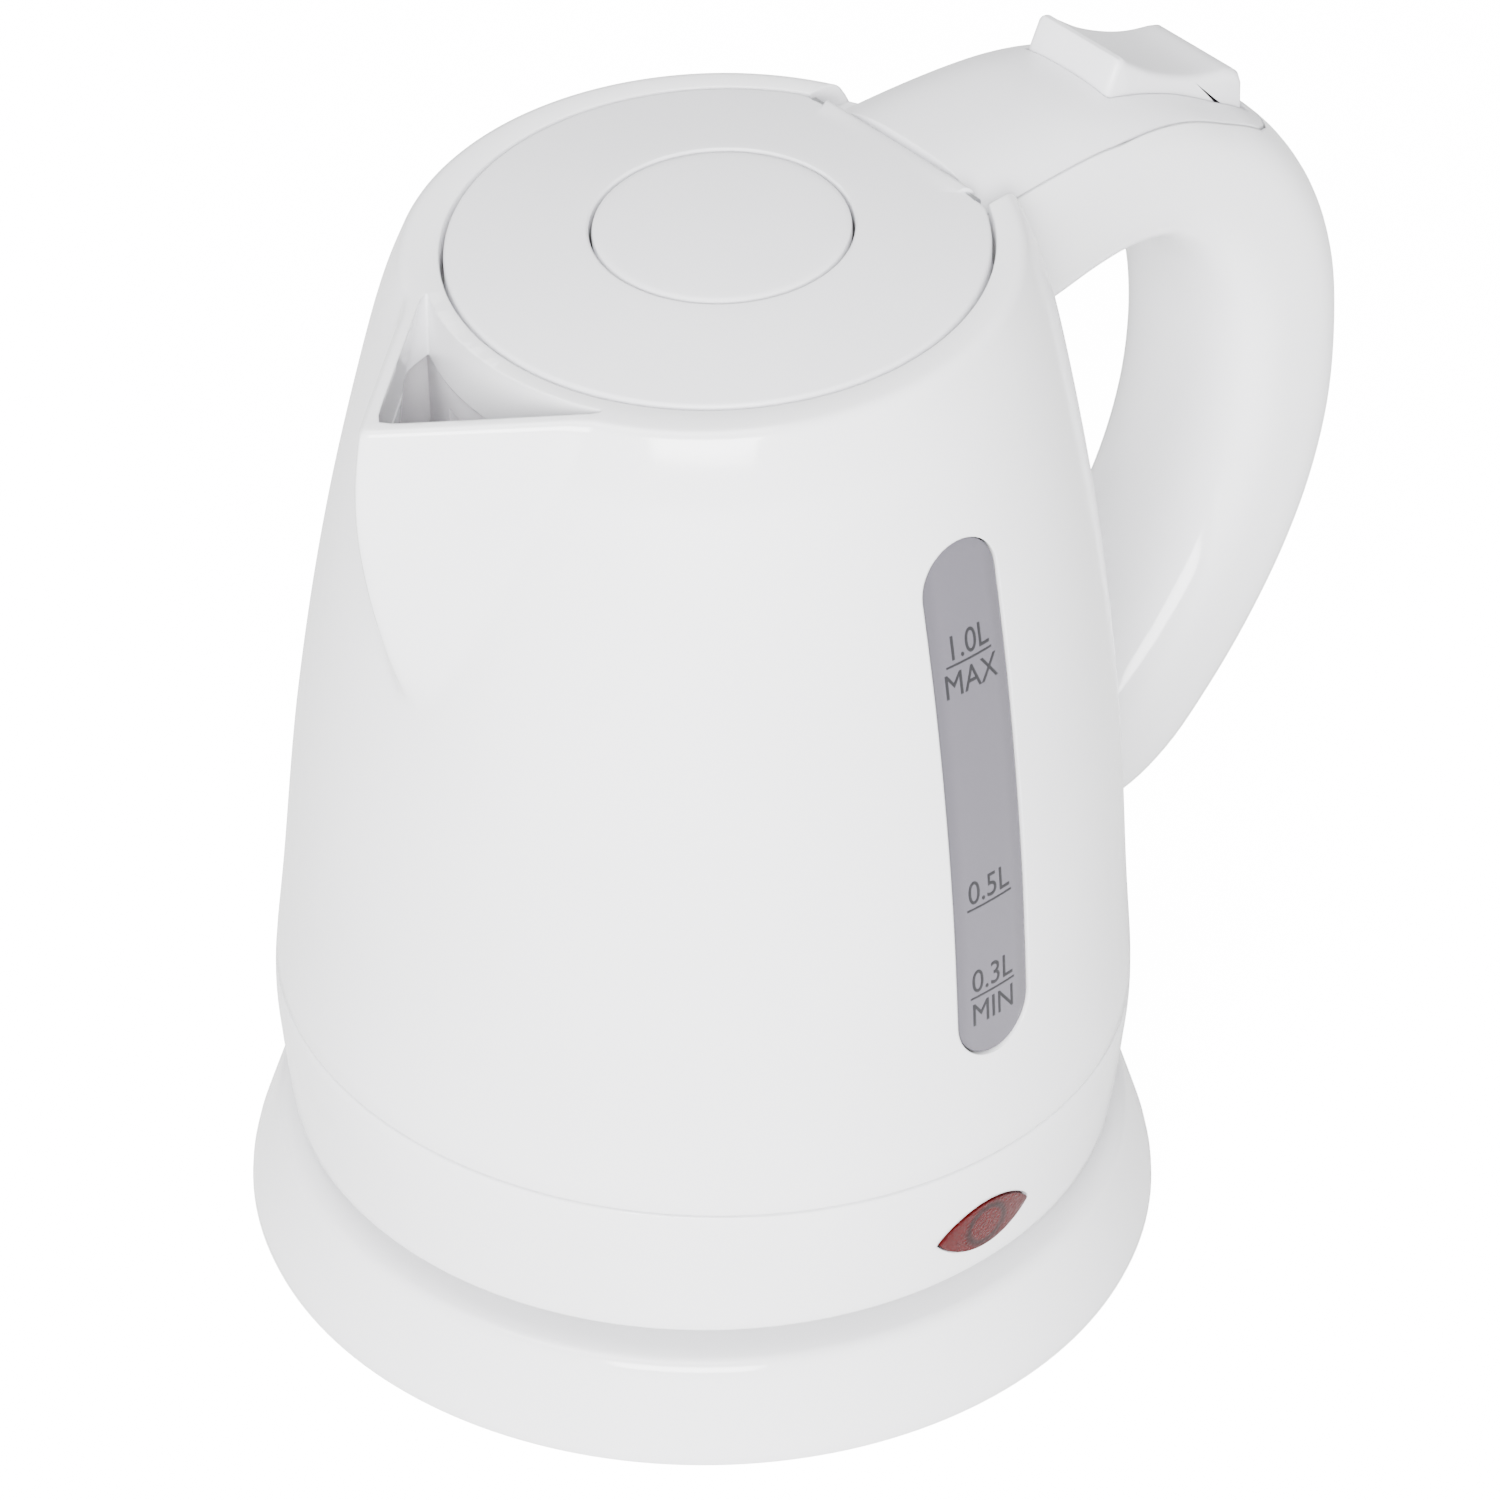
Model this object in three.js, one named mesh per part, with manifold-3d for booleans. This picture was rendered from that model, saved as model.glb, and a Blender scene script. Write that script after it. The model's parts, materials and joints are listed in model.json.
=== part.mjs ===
// Cordless electric kettle on a 360 degree power base.
// Millimetres, +Z up. The origin is on the swivel axis, on the surface that the base stands on.
// The handle points to +X, the spout to -X, and the water gauge faces -Y.

import * as THREE from 'three';
import { mergeVertices } from 'three/addons/utils/BufferGeometryUtils.js';
import Module from 'manifold-3d';

const wasm = await Module();
wasm.setup();

// ---- Driving dimensions ----------------------------------------------------------------

const CLEAR = 0.3;            // gap between fixed neighbours
const RUN = 0.05;             // radial running gap of a pin in its bore
const ROUND = 32;             // sides of a large round form
const FAR = 300;              // longer than anything here, for cutting blocks

/** Sizes of the jug that the freehand curves below are drawn for. */
const drawn = {
  bulgeRadius: 69,
  seamZ: 46.8,
  rimZ: 182.1,
  rimRadius: 47.4,
  rockerHalf: 9.3,
  pivotTop: 178.5,            // outside of the handle over the rocker's pin
};

const jug = {
  wall: 2.4,
  ringBottomZ: 22.7,
  bulgeRadius: 69,
  seamZ: 46.8,
  seamTilt: -1.89,            // degrees, positive rises towards the handle
  rimZ: 182.1,
  rimRadius: 47.4,
  rimTilt: 2.58,
  rimShift: 2.3,              // how far the rim's centre leans to the handle
  plateZ: 54.7,               // top of the heating plate
};
jug.ringBottomRadius = jug.bulgeRadius - 2.1;

const base = {
  footRadius: jug.bulgeRadius + 5,    // outline on the table
  topRadius: jug.bulgeRadius - 0.6,   // upper edge of the skirt
  height: 18.3,
  wall: 2.2,
  coverZ: 8,                  // underside of the plate that closes the base
  coverWall: 2,
  hubRadius: 27,
  hubFloor: 2.4,
  screwCircle: 48,
  footCircle: 58,
  padHeight: 1.6,
  seatRadius: 40,
};

const socket = {
  radius: 14.5,
  top: 28,
  bore: 10.8,
  pillarRadius: 8.2,
  pillarTop: 10,
};

/** Height on this jug of a height that was drawn. */
const fitZ = (z) =>
  jug.seamZ + ((z - drawn.seamZ) * (jug.rimZ - jug.seamZ)) / (drawn.rimZ - drawn.seamZ);
/** Radius of the jug's side as a share of the way from the rim to the bulge. */
const sideRadius = (r) => jug.rimRadius + ((r - drawn.rimRadius) * (jug.bulgeRadius - jug.rimRadius))
  / (drawn.bulgeRadius - drawn.rimRadius);

/** How much wider than drawn the jug is at a drawn height. */
const widened = (z) => THREE.MathUtils.lerp(
  jug.bulgeRadius - drawn.bulgeRadius, jug.rimRadius - drawn.rimRadius,
  THREE.MathUtils.clamp((z - drawn.seamZ) / (drawn.rimZ - drawn.seamZ), 0, 1));
/** Place on this handle of a point that was drawn, as x and z. */
const fitPoint = ([x, z]) => [x + widened(z), fitZ(z)];
/** How far the switch group moves with the handle's outside over the rocker's pin. */
const switchMove = [widened(drawn.pivotTop), fitZ(drawn.pivotTop) - drawn.pivotTop];

const lid = {
  wellRadius: jug.rimRadius - 5.1,
  gap: 0.6,
  crown: 4,
  wall: 2.2,
  depth: 5,                   // skirt below the rim plane
  ledge: 9,
  throatRadius: jug.rimRadius - 9.9,
  throatChord: jug.rimRadius - 17.4,            // straight rear edge of the throat, in front of the hinge
  buttonRadius: 19.8,
  buttonShift: 1,
  buttonTravel: 3,
  hingeX: jug.rimRadius - 11.3,       // from the lid's centre
  hingeBead: 1.5,
  hingeHalf: 16.8,
  pinRadius: 0.9,
};

const gauge = { width: 14.7, bottom: fitZ(66.4), top: fitZ(156.5), recess: 0.5 };
const lamp = { z: 32.5, width: 18.6, height: 9.4 };
const spout = { wall: 2.2, bottom: fitZ(126) };
const handle = { wall: 3, coverDepth: 5.4, coverEnd: 109 + switchMove[0] };
const rocker = {
  front: 74.5 + switchMove[0],
  rear: 105.2 + switchMove[0],
  halfWidth: 9.3,
  pivotX: 89 + switchMove[0],
  pivotZ: 169 + switchMove[1],
  pinRadius: 1,
};
/** How much wider than drawn the handle and its cover are, for the rocker between them. */
const handleGrowth = rocker.halfWidth - drawn.rockerHalf;
/** A height over the whole kettle, for cuts that stay open at the top. */
const SKY = jug.rimZ + 60;

const colours = {
  shell: { color: 0xf1f1f3, roughness: 0.22, metalness: 0 },
  satin: { color: 0xe7e7ea, roughness: 0.42, metalness: 0 },
  inner: { color: 0xdcdcde, roughness: 0.6, metalness: 0 },
  gauge: { color: 0xb4afb8, roughness: 0.25, metalness: 0 },
  lens: { color: 0x8c2a30, roughness: 0.2, metalness: 0 },
  dark: { color: 0x303236, roughness: 0.6, metalness: 0 },
  rubber: { color: 0xc9c9cc, roughness: 0.8, metalness: 0 },
  steel: { color: 0xb9bcc0, roughness: 0.3, metalness: 1 },
  brass: { color: 0xc5a45a, roughness: 0.35, metalness: 1 },
  wire: { color: 0x8a3b2f, roughness: 0.6, metalness: 0 },
};

// ---- Solids ----------------------------------------------------------------------------

/** Makes a closed manifold solid from a three.js geometry, with its faces turned outwards. */
function solid(geometry) {
  const bare = new THREE.BufferGeometry();
  bare.setAttribute('position', geometry.getAttribute('position'));
  if (geometry.index) bare.setIndex(geometry.index);
  const merged = mergeVertices(bare, 1e-4);
  const points = merged.getAttribute('position').array;
  const triangles = dropSlivers(merged.index.array);
  if (signedVolume(points, triangles) < 0) {
    for (let i = 0; i < triangles.length; i += 3) {
      [triangles[i], triangles[i + 1]] = [triangles[i + 1], triangles[i]];
    }
  }
  return new wasm.Manifold(new wasm.Mesh({
    numProp: 3,
    vertProperties: Float32Array.from(points),
    triVerts: Uint32Array.from(triangles),
  }));
}

function dropSlivers(index) {
  const kept = [];
  for (let i = 0; i < index.length; i += 3) {
    const [a, b, c] = [index[i], index[i + 1], index[i + 2]];
    if (a !== b && b !== c && c !== a) kept.push(a, b, c);
  }
  return kept;
}

function signedVolume(points, triangles) {
  const corner = [new THREE.Vector3(), new THREE.Vector3(), new THREE.Vector3()];
  let sum = 0;
  for (let i = 0; i < triangles.length; i += 3) {
    corner.forEach((v, k) => v.fromArray(points, 3 * triangles[i + k]));
    sum += corner[0].dot(corner[1].clone().cross(corner[2]));
  }
  return sum;
}

const join = (first, ...rest) => rest.reduce((sum, one) => sum.add(one), first);
const cut = (first, ...rest) => rest.reduce((sum, one) => sum.subtract(one), first);
const moved = (geometry, x, y, z) => geometry.translate(x, y, z);

function box(x0, x1, y0, y1, z0, z1) {
  const shape = new THREE.BoxGeometry(x1 - x0, y1 - y0, z1 - z0);
  return solid(moved(shape, (x0 + x1) / 2, (y0 + y1) / 2, (z0 + z1) / 2));
}

/** Upright cylinder between two heights. */
function drum(radius, z0, z1, x = 0, y = 0, sides = 20) {
  const shape = new THREE.CylinderGeometry(radius, radius, z1 - z0, sides).rotateX(Math.PI / 2);
  return solid(moved(shape, x, y, (z0 + z1) / 2));
}

/** Cylinder along X. */
function bar(radius, x0, x1, y, z, sides = 14) {
  const shape = new THREE.CylinderGeometry(radius, radius, x1 - x0, sides).rotateZ(Math.PI / 2);
  return solid(moved(shape, (x0 + x1) / 2, y, z));
}

/** Cylinder along Y, for pins and beads. */
function axle(radius, x, z, half, sides = 14) {
  return solid(moved(new THREE.CylinderGeometry(radius, radius, 2 * half, sides), x, 0, z));
}

const tube = (outer, inner, z0, z1, x = 0, y = 0, sides = 20) =>
  cut(drum(outer, z0, z1, x, y, sides), drum(inner, z0 - 1, z1 + 1, x, y, sides));

/** Revolves [radius, height] points about Z. The outline starts and ends on the axis. */
function turned(points, sides = ROUND) {
  const outline = points.map(([r, z]) => new THREE.Vector2(r, z));
  return solid(new THREE.LatheGeometry(outline, sides).rotateX(Math.PI / 2));
}

/** Revolves a closed outline that stays clear of the axis. */
const turnedRing = (points, sides = ROUND) => turned([...points, points[0]], sides);

/** Extrudes an outline in the XZ plane from -half to +half along Y. */
function slice(shape, half, curveSegments = 8) {
  const block = new THREE.ExtrudeGeometry(shape, { depth: 2 * half, bevelEnabled: false, curveSegments });
  return solid(block.rotateX(Math.PI / 2).translate(0, half, 0));
}

/** Extrudes an outline in the XY plane between two heights. */
function plate(shape, z0, z1, curveSegments = 8) {
  const block = new THREE.ExtrudeGeometry(shape, { depth: z1 - z0, bevelEnabled: false, curveSegments });
  return solid(block.translate(0, 0, z0));
}

/** Skins a row of closed sections that all have the same number of points. */
function loft(sections) {
  const count = sections[0].length;
  const points = sections.flat();
  const index = [];
  for (let s = 0; s + 1 < sections.length; s += 1) {
    for (let i = 0; i < count; i += 1) {
      const j = (i + 1) % count;
      const [a, b] = [s * count + i, s * count + j];
      index.push(a, b, b + count, a, b + count, a + count);
    }
  }
  for (const [start, flip] of [[0, true], [(sections.length - 1) * count, false]]) {
    const middle = points.length;
    const centre = new THREE.Vector3();
    for (let i = 0; i < count; i += 1) centre.addScaledVector(points[start + i], 1 / count);
    points.push(centre);
    for (let i = 0; i < count; i += 1) {
      const [a, b] = [start + i, start + ((i + 1) % count)];
      index.push(...(flip ? [b, a, middle] : [a, b, middle]));
    }
  }
  const geometry = new THREE.BufferGeometry().setFromPoints(points);
  geometry.setIndex(index);
  return solid(geometry);
}

/** Block that covers everything above a plane through (0, 0, z) that tilts about Y. */
function above(z, tilt) {
  const block = new THREE.BoxGeometry(2 * FAR, 2 * FAR, FAR).translate(0, 0, FAR / 2);
  return solid(block.rotateY(-THREE.MathUtils.degToRad(tilt)).translate(0, 0, z));
}

const outline = (...points) => new THREE.Shape(points.map(([x, y]) => new THREE.Vector2(x, y)));

/** Sweeps a round section along a curve. */
function sweep(curve, radius, steps, sides = 6) {
  const section = new THREE.Shape();
  section.absarc(0, 0, radius, 0, 2 * Math.PI);
  return solid(new THREE.ExtrudeGeometry(section, {
    extrudePath: curve, steps, bevelEnabled: false, curveSegments: sides / 2,
  }));
}

/** Open coil spring between two heights. */
function coil(radius, wire, z0, z1, turns, x = 0) {
  class Helix extends THREE.Curve {
    getPoint(t, target = new THREE.Vector3()) {
      const angle = 2 * Math.PI * turns * t;
      return target.set(x + radius * Math.cos(angle), radius * Math.sin(angle), z0 + (z1 - z0) * t);
    }
  }
  return sweep(new Helix(), wire, turns * 10, 6);
}

/** Countersunk or pan head screw that points up, with its head at the bottom. */
function screwUp(x, y, headZ, length, headRadius = 3, shank = 1.4) {
  const head = drum(headRadius, headZ, headZ + 1.4, x, y, 12);
  const stem = drum(shank, headZ + 1.2, headZ + length, x, y, 8);
  const slot = box(x - headRadius, x + headRadius, y - 0.35, y + 0.35, headZ - 1, headZ + 0.6);
  return cut(join(head, stem), slot);
}

const around = (count, radius, start = 0) => Array.from({ length: count }, (_, i) => {
  const angle = THREE.MathUtils.degToRad(start + (360 * i) / count);
  return [radius * Math.cos(angle), radius * Math.sin(angle)];
});

// ---- The group of named meshes ---------------------------------------------------------

const kettle = new THREE.Group();
const lidFrame = new THREE.Group();
lidFrame.position.set(jug.rimShift, 0, jug.rimZ);
lidFrame.rotation.y = -THREE.MathUtils.degToRad(jug.rimTilt);
kettle.add(lidFrame);

function add(name, shape, finish, parent = kettle) {
  const raw = shape.getMesh();
  const geometry = new THREE.BufferGeometry();
  geometry.setAttribute('position', new THREE.BufferAttribute(raw.vertProperties, 3));
  geometry.setIndex(new THREE.BufferAttribute(raw.triVerts, 1));
  geometry.computeVertexNormals();
  const mesh = new THREE.Mesh(geometry, new THREE.MeshStandardMaterial(finish));
  mesh.name = name;
  parent.add(mesh);
}

/** Height of the lid's domed top over its edge plane, at a distance from its centre. */
const dome = (r) => lid.crown * (1 - (r / lid.wellRadius) ** 2);
const hingeLocal = dome(lid.hingeX) - lid.hingeBead;
lidFrame.updateMatrix();
const hinge = new THREE.Vector3(lid.hingeX, 0, hingeLocal).applyMatrix4(lidFrame.matrix);

/** Moves a solid that was made about the rim's centre into the frame of the whole kettle. */
function fromLidFrame(shape) {
  return shape.rotate([0, -jug.rimTilt, 0]).translate([jug.rimShift, 0, jug.rimZ]);
}

// ---- Jug outline -----------------------------------------------------------------------

const jugCurve = new THREE.SplineCurve([
  new THREE.Vector2(jug.ringBottomRadius, jug.ringBottomZ),
  new THREE.Vector2(jug.bulgeRadius - 0.6, 36),
  new THREE.Vector2(jug.bulgeRadius, jug.seamZ),
  ...[[67.5, 65], [64.8, 98], [60.1, 131.7], [53.3, 165]].map(([r, z]) =>
    new THREE.Vector2(sideRadius(r), fitZ(z))),
  new THREE.Vector2(jug.rimRadius + 1.6, jug.rimZ - 3),
  new THREE.Vector2(jug.rimRadius - 1.6, jug.rimZ + 3),
]);

function jugRadius(z) {
  const steps = 200;
  for (let i = 1; i <= steps; i += 1) {
    const [low, high] = [jugCurve.getPoint((i - 1) / steps), jugCurve.getPoint(i / steps)];
    if (high.y >= z) return THREE.MathUtils.mapLinear(z, low.y, high.y, low.x, high.x);
  }
  return jug.rimRadius;
}

const jugShift = (z) =>
  jug.rimShift * THREE.MathUtils.clamp((z - jug.seamZ) / (jug.rimZ - jug.seamZ), 0, 1);

/** Solid jug form, grown or shrunk by an offset and stretched a little past both ends. */
function jugSolid(offset, sides = ROUND) {
  const heights = [jug.ringBottomZ - 4, jug.ringBottomZ];
  const steps = 9;
  for (let i = 1; i <= steps; i += 1) {
    heights.push(jug.ringBottomZ + ((jug.rimZ + 3 - jug.ringBottomZ) * i) / steps);
  }
  heights.push(jug.rimZ + 9);
  return loft(heights.map((z) => {
    const radius = jugRadius(Math.max(z, jug.ringBottomZ)) + offset;
    return Array.from({ length: sides }, (_, i) => {
      const angle = (2 * Math.PI * i) / sides;
      return new THREE.Vector3(jugShift(z) + radius * Math.cos(angle), radius * Math.sin(angle), z);
    });
  }));
}

const rimOnAxis = jug.rimZ - jug.rimShift * Math.tan(THREE.MathUtils.degToRad(jug.rimTilt));
const aboveRim = above(rimOnAxis, jug.rimTilt);
const jugOuter = jugSolid(0);
const jugInner = jugSolid(-jug.wall);

// ---- Spout -----------------------------------------------------------------------------

const spoutRidge = new THREE.SplineCurve([
  [-56, 121], [-61, 129.6], [-65.7, 143.7], [-68.6, 158], [-69.1, 169], [-67.8, 180], [-66.5, 188],
].map(([x, z]) => new THREE.Vector2(x + drawn.rimRadius - jug.rimRadius, fitZ(z))));
const spoutReach = 21.8;

/** Prow of the spout. An inset makes the pocket inside its walls. */
function spoutSolid(inset) {
  const steps = 12;
  const sections = [];
  for (let i = 0; i <= steps; i += 1) {
    const ridge = spoutRidge.getPoint(i / steps);
    const rise = THREE.MathUtils.clamp((ridge.y - spout.bottom) / (jug.rimZ - spout.bottom), 0, 1.2);
    const half = Math.max(spoutReach * rise ** 0.55 - inset, 0.6);
    const tip = ridge.x + inset * 1.5;
    const wallX = jugShift(ridge.y) - Math.sqrt(jugRadius(ridge.y) ** 2 - half ** 2) + 0.4 + inset;
    const side = Math.max(wallX, tip + 1.5);
    const root = -30;
    const nose = Math.min(1.4, half / 2);
    sections.push([
      [tip, 0], [tip + 0.7, -nose], [side, -half], [root, -half * 0.6], [root, half * 0.6],
      [side, half], [tip + 0.7, nose],
    ].map(([x, y]) => new THREE.Vector3(x, y, ridge.y)));
  }
  return loft(sections);
}

// ---- Handle outline --------------------------------------------------------------------

// Each station: point on the outside, point on the inside (both x, z), half width.
const handleStations = [
  [[30, 184.6], [30, 150], 20.6],
  [[44, 185.1], [44, 150.5], 20.4],
  [[57, 185.4], [57, 151.8], 19.4],
  [[68, 184.9], [68, 153.2], 18.3],
  [[78, 182.8], [77, 153.6], 17.6],
  [[88, 179], [85, 152], 17.2],
  [[97, 174], [90.5, 148.4], 17],
  [[106, 168.4], [94.5, 143.4], 16.9],
  [[114, 160.2], [97.4, 137.6], 16.8],
  [[121, 148.8], [99.4, 131.2], 16.7],
  [[125.6, 135.5], [100.3, 124], 16.6],
  [[127.6, 121], [100.3, 115], 16.5],
  [[127, 106], [99, 106], 16.4],
  [[123.6, 92], [96.3, 97], 16.4],
  [[118, 79.5], [92.2, 88.6], 16.4],
  [[110, 67.6], [86.4, 80.6], 16.5],
  [[101, 57.6], [79.6, 73.4], 16.7],
  [[91.5, 49.8], [72, 67.4], 17],
  [[80, 46], [64, 63.6], 17.4],
  [[60, 45.4], [56, 62], 17.8],
].map(([outer, inner, halfWidth]) => [fitPoint(outer), fitPoint(inner), halfWidth + handleGrowth]);

/** Handle form. Its section is a rounded box between the outside and the inside line. */
function handleSolid(inset, first = 0, last = handleStations.length - 1) {
  const sides = 16;
  return loft(handleStations.slice(first, last + 1).map(([outer, inner, halfWidth]) => {
    const out = new THREE.Vector2(...outer);
    const inn = new THREE.Vector2(...inner);
    const middle = out.clone().add(inn).multiplyScalar(0.5);
    const depth = out.clone().sub(inn);
    const halfDepth = depth.length() / 2 - inset;
    depth.normalize();
    return Array.from({ length: sides }, (_, i) => {
      const angle = (2 * Math.PI * (i + 0.5)) / sides;
      const [c, s] = [Math.cos(angle), Math.sin(angle)];
      const along = Math.sign(c) * Math.abs(c) ** 0.62 * halfDepth;
      const across = Math.sign(s) * Math.abs(s) ** 0.72 * (halfWidth - inset);
      return new THREE.Vector3(middle.x + depth.x * along, across, middle.y + depth.y * along);
    });
  }));
}

/** Height of the handle's outside line at x, on its upper arm. */
function handleTop(x) {
  for (let i = 1; i < handleStations.length; i += 1) {
    const [[x0, z0], [x1, z1]] = [handleStations[i - 1][0], handleStations[i][0]];
    if (x <= x1) return THREE.MathUtils.mapLinear(x, x0, x1, z0, z1);
  }
  return 0;
}

// ---- Power base ------------------------------------------------------------------------

const bossOuter = socket.radius + CLEAR + base.wall;
const bossTop = socket.top + CLEAR;
const topUnder = base.height - base.wall;
const seatTop = jug.ringBottomZ - CLEAR;
const coverTop = base.coverZ + base.coverWall;
const screwBore = 1.7;

const housing = turnedRing([
  [socket.radius + CLEAR, bossTop], [socket.radius + CLEAR, topUnder],
  [base.topRadius - 2.6, topUnder], [base.footRadius - base.wall - 0.6, 3],
  [base.footRadius - base.wall, 0.8], [base.footRadius - 0.8, 0.8], [base.footRadius, 1.8],
  [base.footRadius - 0.6, 5.5], [base.topRadius + 1.3, base.height - 1.6],
  [base.topRadius + 0.5, base.height - 0.4], [base.topRadius - 0.6, base.height],
  [base.seatRadius, base.height], [base.seatRadius, seatTop],
  [base.seatRadius - 3, seatTop], [base.seatRadius - 3, base.height],
  [bossOuter, base.height], [bossOuter, bossTop],
]);
const cordNotch = slice(outline([base.footRadius - 8, -1], [base.footRadius + 4, -1],
  [base.footRadius + 4, 7], [base.footRadius - 8, 7]), 4);
const housingBosses = around(3, base.screwCircle, 30).map(([x, y]) =>
  tube(4, screwBore, coverTop + CLEAR, topUnder + 0.5, x, y, 12));
add('base_housing', cut(join(housing, ...housingBosses), cordNotch), colours.shell);

const coverRim = base.footRadius - base.wall - 3.2;
const coverDish = turned([
  [0, 0], [base.hubRadius, 0], [base.hubRadius, base.coverZ], [coverRim, base.coverZ],
  [coverRim - 0.8, coverTop], [base.hubRadius - base.coverWall, coverTop],
  [base.hubRadius - base.coverWall, base.hubFloor], [0, base.hubFloor],
]);
const footPosts = around(3, base.footCircle, 90).map(([x, y]) =>
  drum(6, base.padHeight + CLEAR, base.coverZ + 0.5, x, y, 20));
const coverHoles = around(3, base.screwCircle, 30).map(([x, y]) =>
  drum(screwBore, base.coverZ - 1, coverTop + 1, x, y, 12));
const glandHole = box(base.hubRadius - 4, base.hubRadius + 2, -3.4, 3.4, 3, 7.4);
add('base_bottom_cover', cut(join(coverDish, ...footPosts), ...coverHoles, glandHole), colours.inner);

around(3, base.footCircle, 90).forEach(([x, y], i) => {
  add(`base_foot_${i + 1}`, drum(5, 0, base.padHeight, x, y, 20), colours.rubber);
});
around(3, base.screwCircle, 30).forEach(([x, y], i) => {
  add(`base_screw_${i + 1}`, screwUp(x, y, base.coverZ - CLEAR - 1.4, 8.5), colours.steel);
});

const glandX = base.hubRadius;
add('cord_gland', cut(
  join(box(glandX - 5.5, glandX + 3.5, -3.1, 3.1, 3.3, 7.1),
    box(glandX - 5.5, glandX - 2.9, -4.4, 4.4, 2.8, 7.6)),
  slice(outline([glandX - 9, 3.9], [glandX + 6, 3.9], [glandX + 6, 6.5], [glandX - 9, 6.5]), 2.1),
), colours.dark);

const socketFoot = base.hubFloor + CLEAR;
add('base_socket', turned([
  [0, socketFoot], [socket.radius + 3, socketFoot], [socket.radius + 3, socketFoot + 2],
  [socket.radius, socketFoot + 2], [socket.radius, socket.top], [socket.bore, socket.top],
  [socket.bore, socketFoot + 2], [socket.pillarRadius, socketFoot + 2],
  [socket.pillarRadius, socket.pillarTop], [0, socket.pillarTop],
], 32), colours.dark);

// Coaxial contacts: earth in the middle, then one ring for each conductor.
const contact = {
  earth: 2, inner: [4.7, 5.3], outer: [7.1, 7.7],
  pinBottom: 13, sleeveBottom: 16, innerBottom: 17, outerBottom: 18,
};
const contactFoot = socket.pillarTop + CLEAR;
add('socket_earth_contact', tube(2.9, contact.earth + CLEAR, contactFoot, 15.5, 0, 0, 20), colours.brass);
add('socket_inner_contact',
  tube(contact.inner[1], contact.inner[0], contactFoot, contact.innerBottom - CLEAR), colours.brass);
add('socket_outer_contact',
  tube(contact.outer[1], contact.outer[0], contactFoot, contact.outerBottom - CLEAR), colours.brass);

const shutterFoot = 14;
add('shutter_spring', coil(9.5, 0.45, socketFoot + 2.6, shutterFoot - 0.8, 4), colours.steel);
add('socket_shutter', cut(
  tube(socket.bore - CLEAR, contact.outer[1] + 0.5, shutterFoot, socket.top - 0.5, 0, 0, 32),
  box(-1, 1, 8, 12, socket.top - 2.5, socket.top + 1),
  box(-1, 1, -12, -8, socket.top - 2.5, socket.top + 1),
), colours.inner);

// ---- Underside of the jug --------------------------------------------------------------

const closureTop = jug.ringBottomZ + 2.4;
const recess = { radius: bossOuter + 1.6, top: bossTop + 2.4 };
const closureRadius = jug.ringBottomRadius - jug.wall - CLEAR;
const closureCircle = 57;
const screwSpots = around(3, closureCircle, 90);
const closureDish = turned([
  [0, recess.top], [recess.radius, recess.top], [recess.radius, jug.ringBottomZ],
  [closureRadius, jug.ringBottomZ], [closureRadius, closureTop],
  [recess.radius + 2, closureTop], [recess.radius + 2, recess.top + 2], [0, recess.top + 2],
]);
const closureHoles = screwSpots.flatMap(([x, y]) => [
  drum(screwBore, jug.ringBottomZ - 1, closureTop + 1, x, y, 12),
  drum(3.4, jug.ringBottomZ - 1, jug.ringBottomZ + 1.8, x, y, 12),
]);
const connectorHole = drum(12, recess.top - 1, recess.top + 3);
add('bottom_closure', cut(closureDish, ...closureHoles, connectorHole), colours.inner);
screwSpots.forEach(([x, y], i) => {
  add(`closure_screw_${i + 1}`, screwUp(x, y, jug.ringBottomZ + 0.1, 11), colours.steel);
});

const connector = { flange: 15, bottom: recess.top + 2 + CLEAR, top: 37 };
const male = (r1, r0, z0, z1) => tube(r1, r0, z0, z1);
add('kettle_connector', cut(
  join(
    drum(connector.flange, connector.bottom, connector.top),
    drum(11.4, recess.top + 0.2, connector.bottom + 0.5),
    male(4.4, 3, contact.sleeveBottom, connector.bottom),
    male(6.8, 5.6, contact.sleeveBottom, connector.bottom),
  ),
  drum(contact.earth + RUN * 4, 10, 40),
  male(contact.inner[1] + CLEAR, contact.inner[0] - CLEAR, 15, connector.top - 1.7),
  male(contact.outer[1] + CLEAR, contact.outer[0] - CLEAR, 15, connector.top - 1.7),
), colours.dark);
add('connector_earth_pin', join(
  drum(contact.earth, contact.pinBottom + 1, connector.top + 1),
  turned([[0, contact.pinBottom], [1.1, contact.pinBottom], [contact.earth, contact.pinBottom + 1.2],
    [0, contact.pinBottom + 1.2]], 24),
), colours.brass);
add('connector_inner_ring',
  tube(contact.inner[1], contact.inner[0], contact.innerBottom, connector.top - 2), colours.brass);
add('connector_outer_ring',
  tube(contact.outer[1], contact.outer[0], contact.outerBottom, connector.top - 2), colours.brass);

const element = { z: 50.4, radius: 40, tubeRadius: 2.8 };
const control = { bottom: connector.top + 1 + CLEAR, top: 48.6, half: 19 };
add('control_module', cut(
  join(
    box(-control.half, control.half, -16, 16, control.bottom, control.top - 4),
    box(-control.half - 6, -control.half + 2, -7, 7, control.bottom + 1.5, control.top - 5),
    box(8, 14, -13, -7, control.top - 5, control.top), box(8, 14, 7, 13, control.top - 5, control.top),
    drum(4, control.top - 5, control.top, -12, 0),
  ),
  box(-control.half + 3, 5, -13, -6, control.top - 8, control.top - 3),
  box(-control.half + 3, 5, 6, 13, control.top - 8, control.top - 3),
), colours.dark);
[-1, 1].forEach((side, i) => {
  const disc = turned([[0, 0.9], [5.6, 0], [5.6, 0.6], [0, 1.5]], 20);
  add(`bimetal_disc_${i + 1}`, disc.translate([0, side * 19.5, control.top - 3]), colours.steel);
});

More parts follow.
